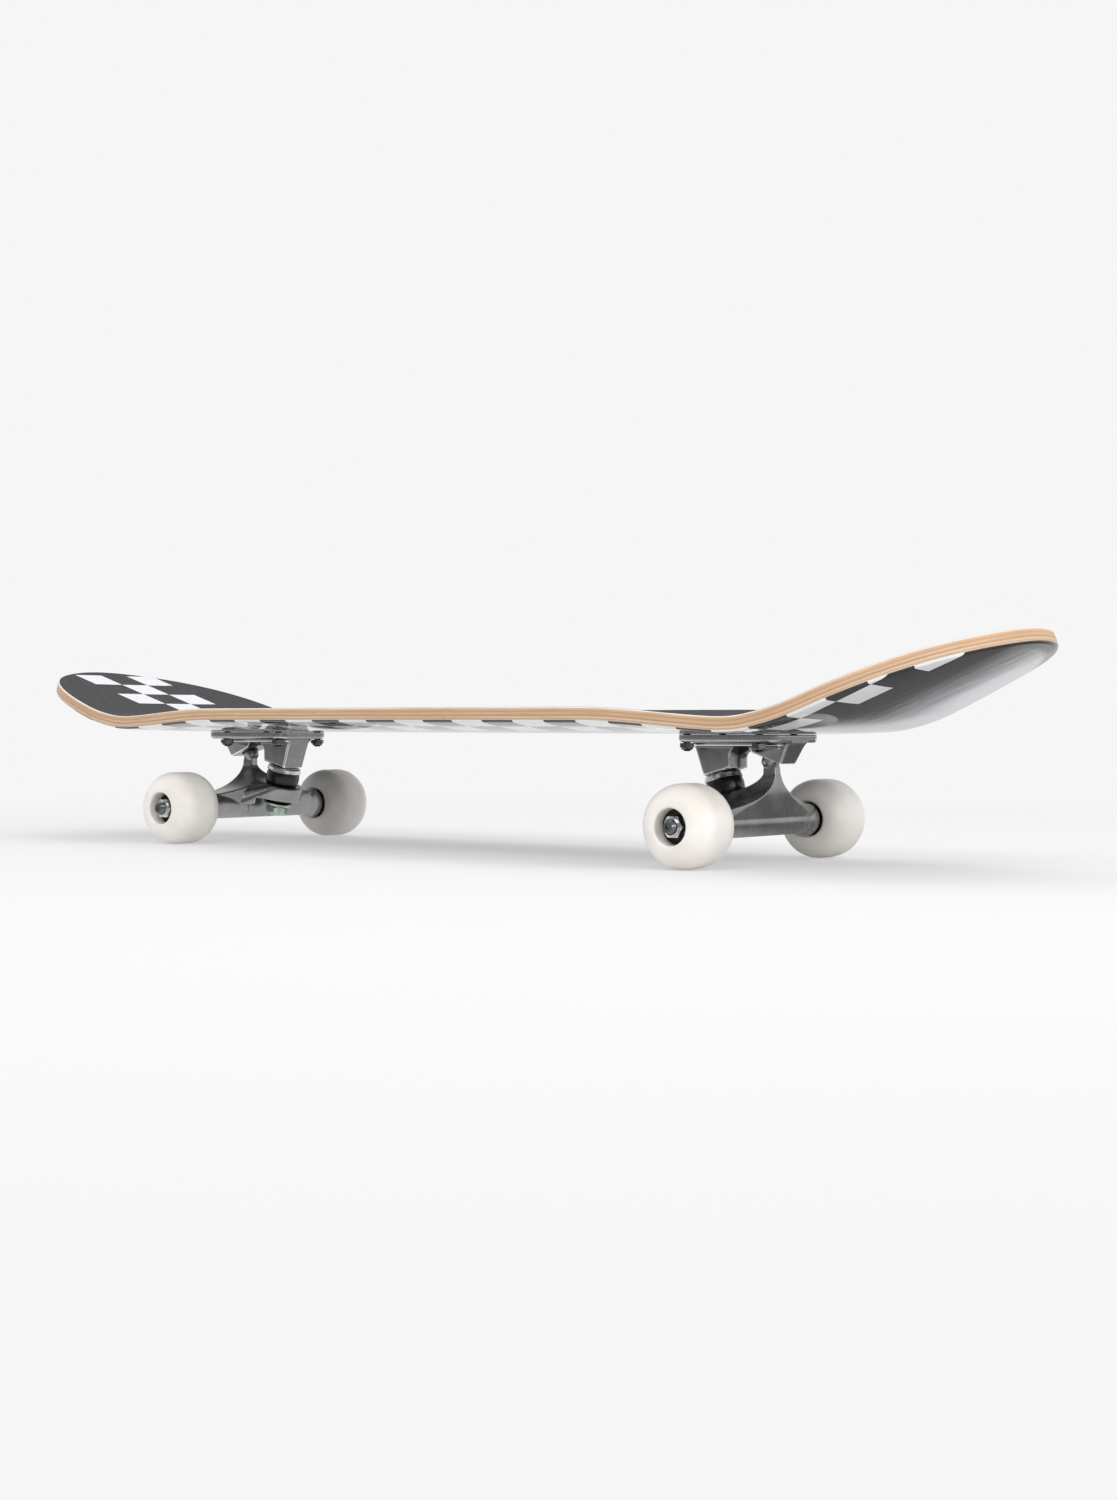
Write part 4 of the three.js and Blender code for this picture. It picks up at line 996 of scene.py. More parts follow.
@dataclass(frozen=True)
class TruckFrame:
    """The lines a truck is built on. Its own frame has the axle's middle at the origin and +X outboard."""

    height: float = TRUCK_HEIGHT
    kingpin_tilt: float = math.radians(15)
    seat: Flat = (-27.3, 24.8)
    ring_start: float = 14.5
    ring_thickness: float = 10.5
    pivot: Flat = (9.3, 15.3)

    @property
    def ring_end(self) -> float:
        """Where the hanger's ring ends, down the kingpin."""
        return self.ring_start + self.ring_thickness

    def below(self, depth: float) -> float:
        """A height from a depth below the mounting face."""
        return self.height - depth

    def on_kingpin(self) -> Matrix:
        """Turns what is made along +Z so that +Z runs down the kingpin from its seat."""
        seat = Vector((self.seat[0], 0, self.below(self.seat[1])))
        return Matrix.Translation(seat) @ Matrix.Rotation(math.pi - self.kingpin_tilt, 4, "Y")

    def ring_middle(self) -> Vector:
        """The middle of the hanger's ring, on the kingpin."""
        return self.on_kingpin() @ Vector((0, 0, self.ring_start + self.ring_thickness / 2))

    def pivot_mouth(self) -> Vector:
        """Where the pivot enters its cup."""
        return Vector((self.pivot[0], 0, self.below(self.pivot[1])))

    def on_pivot(self) -> Matrix:
        """Turns what is made along +Z so that +Z runs up the steering axis from the pivot's mouth."""
        axis = (self.pivot_mouth() - self.ring_middle()).normalized()
        return Matrix.Translation(self.pivot_mouth()) @ Matrix.Rotation(math.pi / 2 - math.asin(axis.z), 4, "Y")


@dataclass(frozen=True)
class Baseplate:
    """The casting under the deck: flange, kingpin block, arch and pivot boss.

    The boss is given as a place along the truck and a depth below the mounting face. Levels pair a height over the
    flange's lower face with an inset. The ledge has its start, end and half width; the arch its middle, radius,
    depth of its crown below the flange, and the angle at which it ends.
    """

    frame: TruckFrame
    length: float = 78.0
    width: float = 53.4
    thickness: float = 5.0
    corner: float = 9.0
    middle_x: float = -8.5
    rim_levels: tuple[Flat, ...] = ((0, 1.5), (0.9, 0.5), (1.3, 0.25), (4.6, 0.0), (5.0, 0.3))
    bolt_middle: float = -13.9
    bolt_long: float = 54.0
    bolt_wide: float = 41.3
    bolt_hole: float = 2.9
    block_half: float = 11.0
    boss_draft: float = 0.0125
    block_draft: float = 0.003
    heel_top: float = -43.4
    ledge: Trio = (-42.5, 25.0, 13.8)
    ledge_corner: float = 4.0
    ledge_levels: tuple[Flat, ...] = ((-2.3, 0.5), (-1.8, 0.0), (1.0, -0.3))
    seat_half: float = 8.5
    arch: tuple[float, float, float, float] = (-6.8, 9.4, 1.2, math.radians(25))
    saddle: float = 5.2
    boss_toe: Flat = (21.5, 18.5)
    boss_fillet: tuple[Flat, Flat, Flat] = ((26.2, 9.6), (28.4, 5.4), (30.2, 4.6))
    head_bore: float = KINGPIN_FLATS / math.sqrt(3) + 0.4
    head_seat: float = 6 - 23.1 + PLAY
    bore_ends: Flat = (-46.0, 3.3)
    cup_bore: float = 4.4 + PLAY + 1.2 + PLAY
    cup_depth: float = 12 + PLAY + 1.2 + PLAY
    cup_start: float = -10.5
    softness: int = 3

    def block(self) -> Piece:
        """The kingpin block and the pivot boss in one, before the arch is cut through."""
        below, tilt = self.frame.below, self.frame.kingpin_tilt
        foot = below(self.thickness - 1)
        seat = Vector((self.frame.seat[0], below(self.frame.seat[1])))
        reach = Vector((math.cos(tilt), math.sin(tilt))) * self.seat_half
        near, far = seat - reach, seat + reach
        fillet = bowed(*((x, below(depth)) for x, depth in self.boss_fillet), 6)
        outline = [(self.heel_top, foot), tuple(near), tuple(far), (self.arch[0] - self.arch[1], far.y + 1),
                   (self.boss_toe[0], below(self.boss_toe[1])), *fillet, (self.boss_fillet[-1][0], foot)]
        made = side_prism("baseplate_body", outline, self.block_half, 1.0)
        for vertex in made.data.vertices:
            depth = below(vertex.co.z / MM) - self.thickness
            draft = self.boss_draft if vertex.co.x > self.arch[0] * MM else self.block_draft
            vertex.co.y *= 1 - draft * max(depth, 0.0)
        return made

    def opening(self) -> Piece:
        """The cutter of the arch, drawn in toward the middle so that the bridge over it stays round."""
        centre_x, radius, crown, end = self.arch
        spring = self.frame.below(self.thickness + crown) - radius
        low = self.frame.below(self.frame.seat[1]) - 12
        toe_x, toe_z, beyond = self.boss_toe[0], self.frame.below(self.boss_toe[1]), 10
        loops = []
        for y in np.linspace(-self.block_half - 2, self.block_half + 2, 27):
            pinch = self.saddle * (1 - (y / self.block_half) ** 2)
            curve = []
            for t in np.linspace(0, 1, 25):
                angle = math.pi + (end - math.pi) * t
                reach = radius - pinch * (1 - max(2 * t - 1, 0.0) ** 2)
                curve.append((centre_x + reach * math.cos(angle), spring + reach * math.sin(angle)))
            slope = (toe_z - curve[-1][1]) / (toe_x - curve[-1][0])
            curve += [(toe_x + beyond, toe_z + beyond * slope), (toe_x + beyond, low), (curve[0][0], low)]
            loops.append([(x, y, z) for x, z in curve])
        return lofted("opening", loops)

    def shelf(self, name: str, place: Trio, corner: float, steps: int, levels: Sequence[Flat]) -> Piece:
        """A low plate with round corners. Its place is where it starts and ends along the truck, and its half width."""
        (start, end, half), low = place, self.frame.below(self.thickness)
        rim = eased([(end, half), (start, half), (start, -half), (end, -half)], corner, steps)
        return stepped(name, rim, [(low + height, step) for height, step in levels])

    def body(self) -> Piece:
        """The finished casting, in the truck's frame."""
        made = combine(self.block(), Joining.CUT, self.opening())
        flange = (self.middle_x - self.length / 2, self.middle_x + self.length / 2, self.width / 2)
        slab = self.shelf("slab", flange, self.corner, 10, self.rim_levels)
        raised = self.shelf("raised", self.ledge, self.ledge_corner, 6, self.ledge_levels)
        cast(gathered(made, slab, raised), self.softness)
        head, seat, shank, sides, (far, near) = self.head_bore, self.head_seat, KINGPIN_BORE, 48, self.bore_ends
        bore = turned("bore", [(0, far), (head, far), (head, seat), (shank, seat), (shank, near), (0, near)], sides,
                      self.frame.on_kingpin())
        cup = rod("cup", self.cup_bore, self.cup_start, self.cup_depth, sides, self.frame.on_pivot())
        holes = [rod("hole", self.bolt_hole, self.frame.below(self.thickness) - 3, self.frame.height + 3, 32,
                     Matrix.Translation((self.bolt_middle + x * self.bolt_long / 2, y * self.bolt_wide / 2, 0)))
                 for x in (-1, 1) for y in (-1, 1)]
        return combine(made, Joining.CUT, bore, cup, *holes)


@dataclass(frozen=True)
class Hanger:
    """The steering casting: pivot, arm, web, ring, skirt and axle housing.

    The arm's top and the web's middle each have a reach toward the kingpin, a reach away from it and a half width. The
    web's end has its height in place of the half width. The neck and the bend pair a share of the arm's height with a
    half width. Skirt angles are shares of half a turn round the housing.
    """

    frame: TruckFrame
    face: float = 66.9
    face_radius: float = 7.6
    collar_start: float = 58.5
    collar_radius: float = 11.0
    collar_length: float = 6.0
    collar_ease: float = 1.2
    housing: float = 10.4
    keel: float = 8.8
    keel_reach: float = 50.0
    ring_radius: float = 16.5
    ring_hole: float = 7.6
    skirt_half: float = 30.0
    skirt_angles: tuple[float, ...] = (0.55, 0.65, 0.75, 0.85, 0.95)
    skirt_share: float = 0.97
    web_half: float = 57.0
    arm_top_gap: float = 2.2
    arm_top: Trio = (4.2, 4.2, 2.9)
    arm_neck: Flat = (0.8, 3.5)
    web_bend: Flat = (0.36, 9.0)
    web_middle: Trio = (14.0, 15.4, 13.0)
    web_end: Trio = (4.6, 9.2, 8.6)
    pocket_wall: float = 12.4
    pocket_half: float = 22.6
    pocket_corner: float = 9.0
    pivot_radius: float = 4.4
    pivot_tip: float = 3.7
    pivot_length: float = 12.0
    pivot_taper: float = 4.5
    knuckle: Flat = (4.8, 3.5)
    cup_lip: float = 3.6
    axle_bore: float = 4.05
    softness: int = 10

    def web(self) -> Piece:
        """The arm and web between the pivot and the axle, where three views of it cross."""
        mouth, ring, tilt = self.frame.pivot_mouth(), self.frame.ring_middle(), self.frame.kingpin_tilt
        top, housing, half_keel = mouth.z - self.arm_top_gap, self.housing, self.keel / 2
        inner, outer = mouth.x - self.arm_top[0], mouth.x + self.arm_top[1]
        root, neck = ring.x + self.ring_hole + 2.2, inner - 3
        thick = self.frame.ring_thickness / math.cos(tilt)

        def under_ring(x: float) -> float:
            """Just under the ring's upper face."""
            return ring.z + thick / 2 + (x - ring.x) * math.tan(tilt) - PLAY

        side = [(inner, top), *bowed((outer, top), (outer + 3, top * 0.5), (housing + 1.6, housing * 0.9)),
                (housing * 0.9, 0), (0, -half_keel), (-housing * 0.8, 0), (root, under_ring(root) - thick + 2 * PLAY),
                *bowed((root, under_ring(root)), (neck, under_ring(neck)), (inner, top * self.arm_neck[0]))]
        flank = bowed((self.arm_neck[1], top * self.arm_neck[0]), (self.web_bend[1], top * self.web_bend[0]),
                      (self.web_half, self.web_end[2]), 30)
        half = [(self.arm_top[2], top + 1), *flank, (self.web_half, -half_keel)]
        front = half + [(-y, z) for y, z in reversed(half)]
        (near, far, reach), (end_near, end_far, _) = self.web_middle, self.web_end
        plan = [(-end_near, self.web_half), (-near, reach), (-near, -reach), (-end_near, -self.web_half),
                (end_far, -self.web_half), (far, -reach / 2), (outer + 3, 0), (far, reach / 2),
                (end_far, self.web_half)]
        made = side_prism("web", side, self.web_half)
        across = lofted("across", [[(x, y, z) for y, z in front] for x in (-2 * housing, 2 * housing)])
        combine(made, Joining.CROSS, across)
        return combine(made, Joining.CROSS, prism("plan", eased(plan, 6, 3), -self.frame.height, self.frame.height))

    def ring(self) -> Piece:
        """The ring round the kingpin, drawn onto the axle housing by a skirt."""
        start, end, inner = self.frame.ring_start, self.frame.ring_end, self.ring_radius - 1
        profile = [(0, start), *((inner + s, start + 1 - c) for s, c in quarter(3)),
                   *((inner + c, end - 1 + s) for s, c in quarter(3)), (0, end)]
        made = turned("ring", profile, 64, self.frame.on_kingpin())
        with editing(made.data) as body:
            for share in self.skirt_angles:
                for y in (-self.skirt_half, self.skirt_half):
                    x, z = (self.housing * f(math.pi * share) * self.skirt_share for f in (math.cos, math.sin))
                    body.verts.new(Vector((x, y, z)) * MM)
            hull = bmesh.ops.convex_hull(body, input=body.verts)
            inside = [g for g in hull["geom_interior"] if isinstance(g, bmesh.types.BMVert)]
            bmesh.ops.delete(body, geom=inside, context="VERTS")
            kept = {g for g in hull["geom"] if isinstance(g, bmesh.types.BMFace)}
            bmesh.ops.delete(body, geom=[f for f in body.faces if f not in kept], context="FACES_ONLY")
        return made

    def barrel(self) -> Piece:
        """The axle housing with its collars, flat underneath."""
        start, rim, ease = self.collar_start, self.collar_radius, self.collar_ease
        end = start - self.collar_length
        half = [(0, self.face), (self.face_radius, self.face), (self.face_radius, start), (rim - ease, start),
                (rim, start - ease), (rim, end), (self.housing, end - 5)]
        made = turned("barrel", mirrored(half), 72, CROSSWISE)
        low = -self.keel - rim
        outline = [(-BEYOND, low), (BEYOND, low), (BEYOND, -self.keel), (-BEYOND, -self.keel)]
        cutter = side_prism("keel", outline, self.keel_reach)
        return combine(made, Joining.CUT, cutter)

    def root(self) -> Piece:
        """The knuckle of the arm and the pivot that stands in its cup."""
        radius, length = self.knuckle
        tip = self.pivot_length - self.pivot_tip
        profile = [(0, -length - 3), (radius * 0.75, -length - 2.4), (radius, -length), (radius, -1),
                   (self.pivot_radius, self.cup_lip - 1), (self.pivot_radius, self.pivot_taper),
                   *((self.pivot_tip * c, tip + self.pivot_tip * s) for s, c in quarter(5)[:-1]),
                   (0, self.pivot_length)]
        return turned("root", profile, 48, self.frame.on_pivot())

    def body(self) -> Piece:
        """The finished casting, in the truck's frame."""
        made = combine(self.barrel(), Joining.JOIN, self.web(), self.ring(), self.root())
        corner, end, kingpin = self.pocket_corner, self.frame.ring_end, self.frame.on_kingpin()
        near, wall = self.pocket_half - corner, corner - self.pocket_wall
        outline = [(BEYOND, -self.pocket_half), (BEYOND, self.pocket_half),
                   *arc((wall, near), corner, math.pi / 2, math.pi, 10),
                   *arc((wall, -near), corner, math.pi, 1.5 * math.pi, 10)]
        combine(made, Joining.CUT, prism("pocket", outline, end, 2 * end + BEYOND, kingpin))
        cast(made, self.softness)
        return combine(made, Joining.CUT, rod("hole", self.ring_hole, 0, 60, 64, kingpin),
                       rod("bore", self.axle_bore, -90, 90, 40, CROSSWISE))


@dataclass
class Truck:
    """One truck: castings, kingpin stack and axle."""

    end: str
    frame: TruckFrame
    castings: tuple[Piece, Piece]
    kingpin_radius: float = 4.76
    kingpin_head: Flat = (-23.1, -17.1)
    board_washer: Flat = (12.7, 4.0)
    road_washer: Flat = (10.5, 2.6)
    washer_thickness: float = 1.6
    board_bushing: Flat = (12.4, 12.0)
    road_bushing: Trio = (10.4, 8.2, 4.0)
    nut: Trio = (14.3, 6.0, 1.6)
    pivot_profile: tuple[Flat, ...] = (
        (0, 13.5), (5.9, 13.5), (5.9, 3.6), (5.5, 3.2), (4.75, 3.6), (4.7, 4.5), (4.0, 8.3), (2.83, 11.13), (0, 12.3))
    axle_radius: float = 4.0
    axle_end: float = 101.9
    axle_thread: float = 12.0
    place: Matrix = field(init=False)
    down: Matrix = field(init=False)

    def __post_init__(self) -> None:
        """Finds where the truck stands and which way it faces."""
        axle = middle(f"{self.end}_axle")
        turn = math.pi if self.end == "nose" else 0.0
        self.place = Matrix.Translation((axle.x, 0, axle.z)) @ Matrix.Rotation(turn, 4, "Z")
        self.down = self.place @ self.frame.on_kingpin()

    def build(self) -> None:
        """Makes every piece of the truck, apart from its wheels."""
        end, steered = self.end, f"{self.end}_truck"
        for word, casting, finish, body in zip(("baseplate", "hanger"), self.castings, (CAST, HANGER_CAST),
                                               ("board", steered)):
            made = copied(casting, f"{end}_{word}_casting", self.place)
            fit(made, finish, body, f"{end}_{word}", 50)
        self.kingpin_stack(steered)
        cup = turned(f"{end}_moulded_pivot_cup", self.pivot_profile, 40, self.place @ self.frame.on_pivot())
        fit(cup, CUP, "board", f"{end}_pivot_cup")
        self.axle(steered)

    def kingpin_stack(self, steered: str) -> None:
        """The kingpin with its washers, bushings and nut; the bushings are made on the board, then freed from every
        body and left where they stand.
        """
        down, end, thick = self.down, self.end, self.washer_thickness
        upper_start = PLAY + thick
        upper_end = upper_start + self.board_bushing[1] + 2 * PLAY
        lower_start = self.frame.ring_end
        lower_end = lower_start + self.road_bushing[2] + 2 * PLAY
        nut_start = lower_end + thick + PLAY
        self.kingpin(nut_start)
        upper_washer = self.cupped(f"{end}_upper_cup_washer", self.board_washer, PLAY, 1)
        fit(upper_washer, CHROME, "board", f"{end}_board_washer")
        lower_washer = self.cupped(f"{end}_lower_cup_washer", self.road_washer, lower_end + thick, -1)
        fit(lower_washer, ZINC, "board", f"{end}_road_washer")
        nut = hex_nut(f"{end}_kingpin_lock_nut", self.nut, self.kingpin_radius + 0.02, chamfer=0.9,
                      place=down @ Matrix.Translation((0, 0, nut_start)))
        fit(nut, ZINC, "board", f"{end}_kingpin_nut")
        held, rim = self.board_washer[0] - 1.3, PLAY + self.board_washer[1] - 0.4
        sides = self.barrel_side(self.board_bushing[0], rim, upper_end, ease=1.5, waist=0.5)
        wide, narrow, _ = self.road_bushing
        bushings = (
            ("upper", "board", upper_start, upper_end,
             [(KINGPIN_BORE, upper_start), (held, upper_start), (held, rim), *sides, (KINGPIN_BORE, upper_end)]),
            ("lower", "road", lower_end, lower_start,
             [(KINGPIN_BORE, lower_start), (wide - 0.5, lower_start), (wide, lower_start + 0.5),
              (narrow + 0.4, lower_end - 1.0), (narrow - 0.4, lower_end - 0.3), (narrow - 1, lower_end),
              (KINGPIN_BORE, lower_end)]))
        for word, node, start, finish, profile in bushings:
            made = turned(f"{end}_{word}_bushing", profile, 64, down)
            fit(made, BUSHING, "board", f"{end}_{node}_bushing")
            made.parent = None
            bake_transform(made)

    @staticmethod
    def barrel_side(radius: float, top: float, low: float, ease: float, waist: float) -> list[Flat]:
        """The outer side of a barrel bushing: rounded shoulders round a slightly swollen middle.

        Args:
            radius: Radius at the middle.
            top: Where the side starts.
            low: Where it ends.
            ease: Radius of its shoulders.
            waist: How much narrower its ends are.

        Returns:
            Profile points from the top down.
        """
        end = radius - waist
        points = [(end - ease * (1 - s), top + ease * (1 - c)) for s, c in quarter(5)]
        swell = [(end + waist * math.sin(math.pi * t) ** 0.6, top + ease + (low - top - 2 * ease) * t)
                 for t in np.linspace(0, 1, 9)[1:-1]]
        return points + swell + [(r, top + low - h) for r, h in reversed(points)]

    def kingpin(self, nut_start: float) -> None:
        """The kingpin, its head up in the baseplate and its thread under the nut."""
        made = prism(f"{self.end}_kingpin_bolt", hexagon(KINGPIN_FLATS), *self.kingpin_head, self.down)
        radius, tip = self.kingpin_radius, nut_start + self.nut[1] + 1.2
        shank = [(0, -22), (radius, -22), (radius, nut_start - 3),
                 *threaded(radius, nut_start - 2, tip - 0.6, THREAD_PITCH, 0.5), (radius - 0.9, tip), (0, tip)]
        combine(made, Joining.JOIN, turned("shank", shank, 48, self.down))
        fit(made, CHROME, "board", f"{self.end}_kingpin")

    def cupped(self, name: str, size: Flat, back: float, way: int) -> Piece:
        """A cup washer whose rolled rim turns toward the bushing.

        Args:
            name: Name of the washer.
            size: Its outer radius and its height over the rim.
            back: Where its flat back is, down the kingpin.
            way: 1 when its rim turns down the kingpin, -1 when it turns up.

        Returns:
            The washer.
        """
        (radius, rim), thick, wall = size, self.washer_thickness, 0.9
        section = [(KINGPIN_BORE, 0), (radius - 2.6, 0), (radius - 1.3, 0.35), (radius - 0.5, 1.1), (radius - 0.3, 2.0),
                   (radius - 0.15, rim - 0.7), (radius, rim - 0.3), (radius - 0.25, rim), (radius - wall, rim),
                   (radius - wall - 0.15, thick + 0.6), (radius - wall - 0.8, thick), (KINGPIN_BORE, thick)]
        return turned(name, [(r, back + way * height) for r, height in section], 72, self.down)

    def axle(self, steered: str) -> None:
        """The axle, threaded at both ends, with a centre hole in each."""
        radius, end = self.axle_radius, self.axle_end
        half = [(0, end - 1.6), (1.1, end - 1.0), (1.5, end), (radius - 0.7, end),
                *reversed(threaded(radius, end - self.axle_thread, end - 0.9, THREAD_PITCH, 0.45))]
        made = turned(f"{self.end}_axle_bar", mirrored(half)[::-1], 48, self.place @ CROSSWISE)
        fit(made, AXLE_STEEL, steered, f"{self.end}_axle")


# ----- Wheels -----


@dataclass(frozen=True)
class WheelSet:
    """One wheel with its bearings, its clamped stack and its nut. Its own +Z points outward."""

    radius: float = 26.0
    width: float = 41.2
    shoulder: Flat = (13.0, 14.5)
    lip: float = 12.9
    roll: float = 1.6
    bearing: float = 11.0
    bearing_width: float = 7.0
    shield: float = 6.6
    race: float = 6.2
    spacer: Flat = (5.2, 9.0)
    bore: float = 4.3
    core: float = 8.2
    stack: float = 12.5
    nut: Trio = (12.7, 6.0, 1.5)
    nut_bore: float = 4.02

    def build(self, end: str, hand: str) -> None:
        """Makes the pieces on one end of an axle."""
        node, turning, still = f"{end}_{hand}", f"{end}_{hand}_wheel_set", f"{end}_truck"
        sign = 1 if hand == "right" else -1
        place = Matrix.Translation(middle(f"{node}_wheel")) @ Matrix.Rotation(sign * math.pi / 2, 4, "X")
        fit(self.wheel(f"{node}_urethane_wheel", place), URETHANE, turning, f"{node}_wheel")
        for name, side in (("outer", 1), ("inner", -1)):
            made = self.shielded(f"{node}_{name}_shielded_bearing", place, side)
            fit(made, SHIELD, turning, f"{node}_{name}_bearing")
        fit(self.clamped(f"{node}_spacer_stack", place), CHROME, still, f"{node}_race_stack")
        seat = place @ Matrix.Translation((0, 0, self.stack + PLAY))
        nut = hex_nut(f"{node}_lock_nut", self.nut, self.nut_bore, chamfer=0.9, place=seat)
        fit(nut, CHROME, still, f"{node}_axle_nut")

    def wheel(self, name: str, place: Matrix) -> Piece:
        """The cast wheel: flat tread, big round shoulders, and a side that rolls into the hub."""
        half, seat, step = self.width / 2, self.bearing + PLAY, self.spacer[1] / 2 - PLAY
        radial, axial = self.shoulder
        upper = [(self.radius - radial * (1 - c), half - axial * (1 - s)) for s, c in quarter(24)]
        upper += [(seat + (self.lip - seat) * (1 - s), half - self.roll * (1 - c)) for s, c in quarter(8)]
        return turned(name, mirrored([*upper, (seat, step), (self.core, step)]), 120, place)

    def shielded(self, name: str, place: Matrix, side: int) -> Piece:
        """The turning half of a bearing: outer race and pressed shield."""
        near, far, rim, shield = self.spacer[1] / 2, self.spacer[1] / 2 + self.bearing_width, self.bearing, self.shield
        section = [(shield, near + PLAY), (9.4, near + PLAY), (9.6, near), (rim - 0.2, near), (rim, near + 0.2),
                   (rim, far - 0.2), (rim - 0.2, far), (9.7, far), (9.45, far - 0.35), (9.1, far - 0.4),
                   (8.8, far - 0.15), (7.2, far - 0.15), (6.9, far - 0.4), (shield, far - 0.4)]
        return turned(name, [(r, side * height) for r, height in section], 64, place)

    def clamped(self, name: str, place: Matrix) -> Piece:
        """The inner races, the spacer between them and the two speed washers."""
        half, near, race = self.stack, self.spacer[1] / 2, self.race
        far = near + self.bearing_width
        upper = [(self.bore, half), (race - 0.2, half), (race, half - 0.2), (race, far + 0.05), (race - 0.35, far),
                 (race - 0.35, far - 0.1), (race - 0.1, far - 0.3), (race, near), (self.spacer[0], near)]
        return turned(name, mirrored(upper), 56, place)


# ----- Mounting hardware -----


@dataclass(frozen=True)
class MountingSet:
    """The countersunk machine screws through the deck, and their lock nuts. The thread has a pitch and a depth."""

    head: float = 4.7
    head_height: float = 3.0
    shank: float = 2.4
    length: float = 20.6
    thread: Flat = (0.79, 0.28)
    nut: Trio = (8.7, 4.3, 1.4)
    painted_hollow_shade: Trio = (0.55, 2.6, 1.8)
    recess_turn: float = 0.4

    def build(self, end: str) -> None:
        """Makes the screws and nuts of one truck."""
        for k in range(1, 5):
            node = f"{end}_bolt_{k}"
            spot = middle(node)
            spot.z = 0
            made = self.screw(f"{end}_machine_screw_{k}", Matrix.Translation(spot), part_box(node)[1].z / MM)
            fit(made, BLACK_STEEL, "board", node)
            spot.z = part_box(f"{end}_bolt_nut_{k}")[0].z / MM + self.nut[1]
            place = Matrix.Translation(spot) @ Matrix.Rotation(math.pi, 4, "X")
            nut = hex_nut(f"{end}_deck_lock_nut_{k}", self.nut, self.shank + 0.05, chamfer=0.6, place=place)
            fit(nut, NUT_STEEL, "board", f"{end}_bolt_nut_{k}")

    def screw(self, name: str, place: Matrix, top: float) -> Piece:
        """One screw: countersunk head with a cross recess, and a threaded end."""
        tip, neck, head = top - self.length, top - self.head_height, self.head
        profile = [(0, tip), (self.shank - 0.6, tip), *threaded(self.shank, tip + 0.5, neck - 5, *self.thread),
                   (self.shank, neck), (head, top - 0.35), (head, top - 0.15), (head - 0.2, top), (0, top)]
        made = turned(name, profile, 40, place)
        half, reach, depth = self.painted_hollow_shade
        for turn in (0, math.pi / 2):
            loops = [[(x, y, z) for x, y in ((-r, -w), (r, -w), (r, w), (-r, w))]
                     for z, r, w in ((top - depth, 0.5, half * 0.5), (top + 0.5, reach, half))]
            spun = place @ Matrix.Rotation(turn + self.recess_turn, 4, "Z")
            combine(made, Joining.CUT, lofted("cross", loops, spun))
        return made


# ----- Studio -----


@dataclass(frozen=True)
class Lamp:
    """One soft light: where it stands, its size and its power. Places in the studio are in metres."""

    name: str
    stand: Trio
    size: Flat
    power: float
    aim: Trio = (0.0, 0.0, 0.05)

    def build(self) -> None:
        """Hangs the lamp."""
        data = bpy.data.lights.new(self.name, "AREA")
        data.shape, data.energy = "RECTANGLE", self.power
        data.size, data.size_y = self.size
        made = bpy.data.objects.new(self.name, data)
        made.location = self.stand
        made.rotation_euler = (Vector(self.aim) - Vector(self.stand)).to_track_quat("-Z", "Y").to_euler()
        bpy.context.scene.collection.objects.link(made)


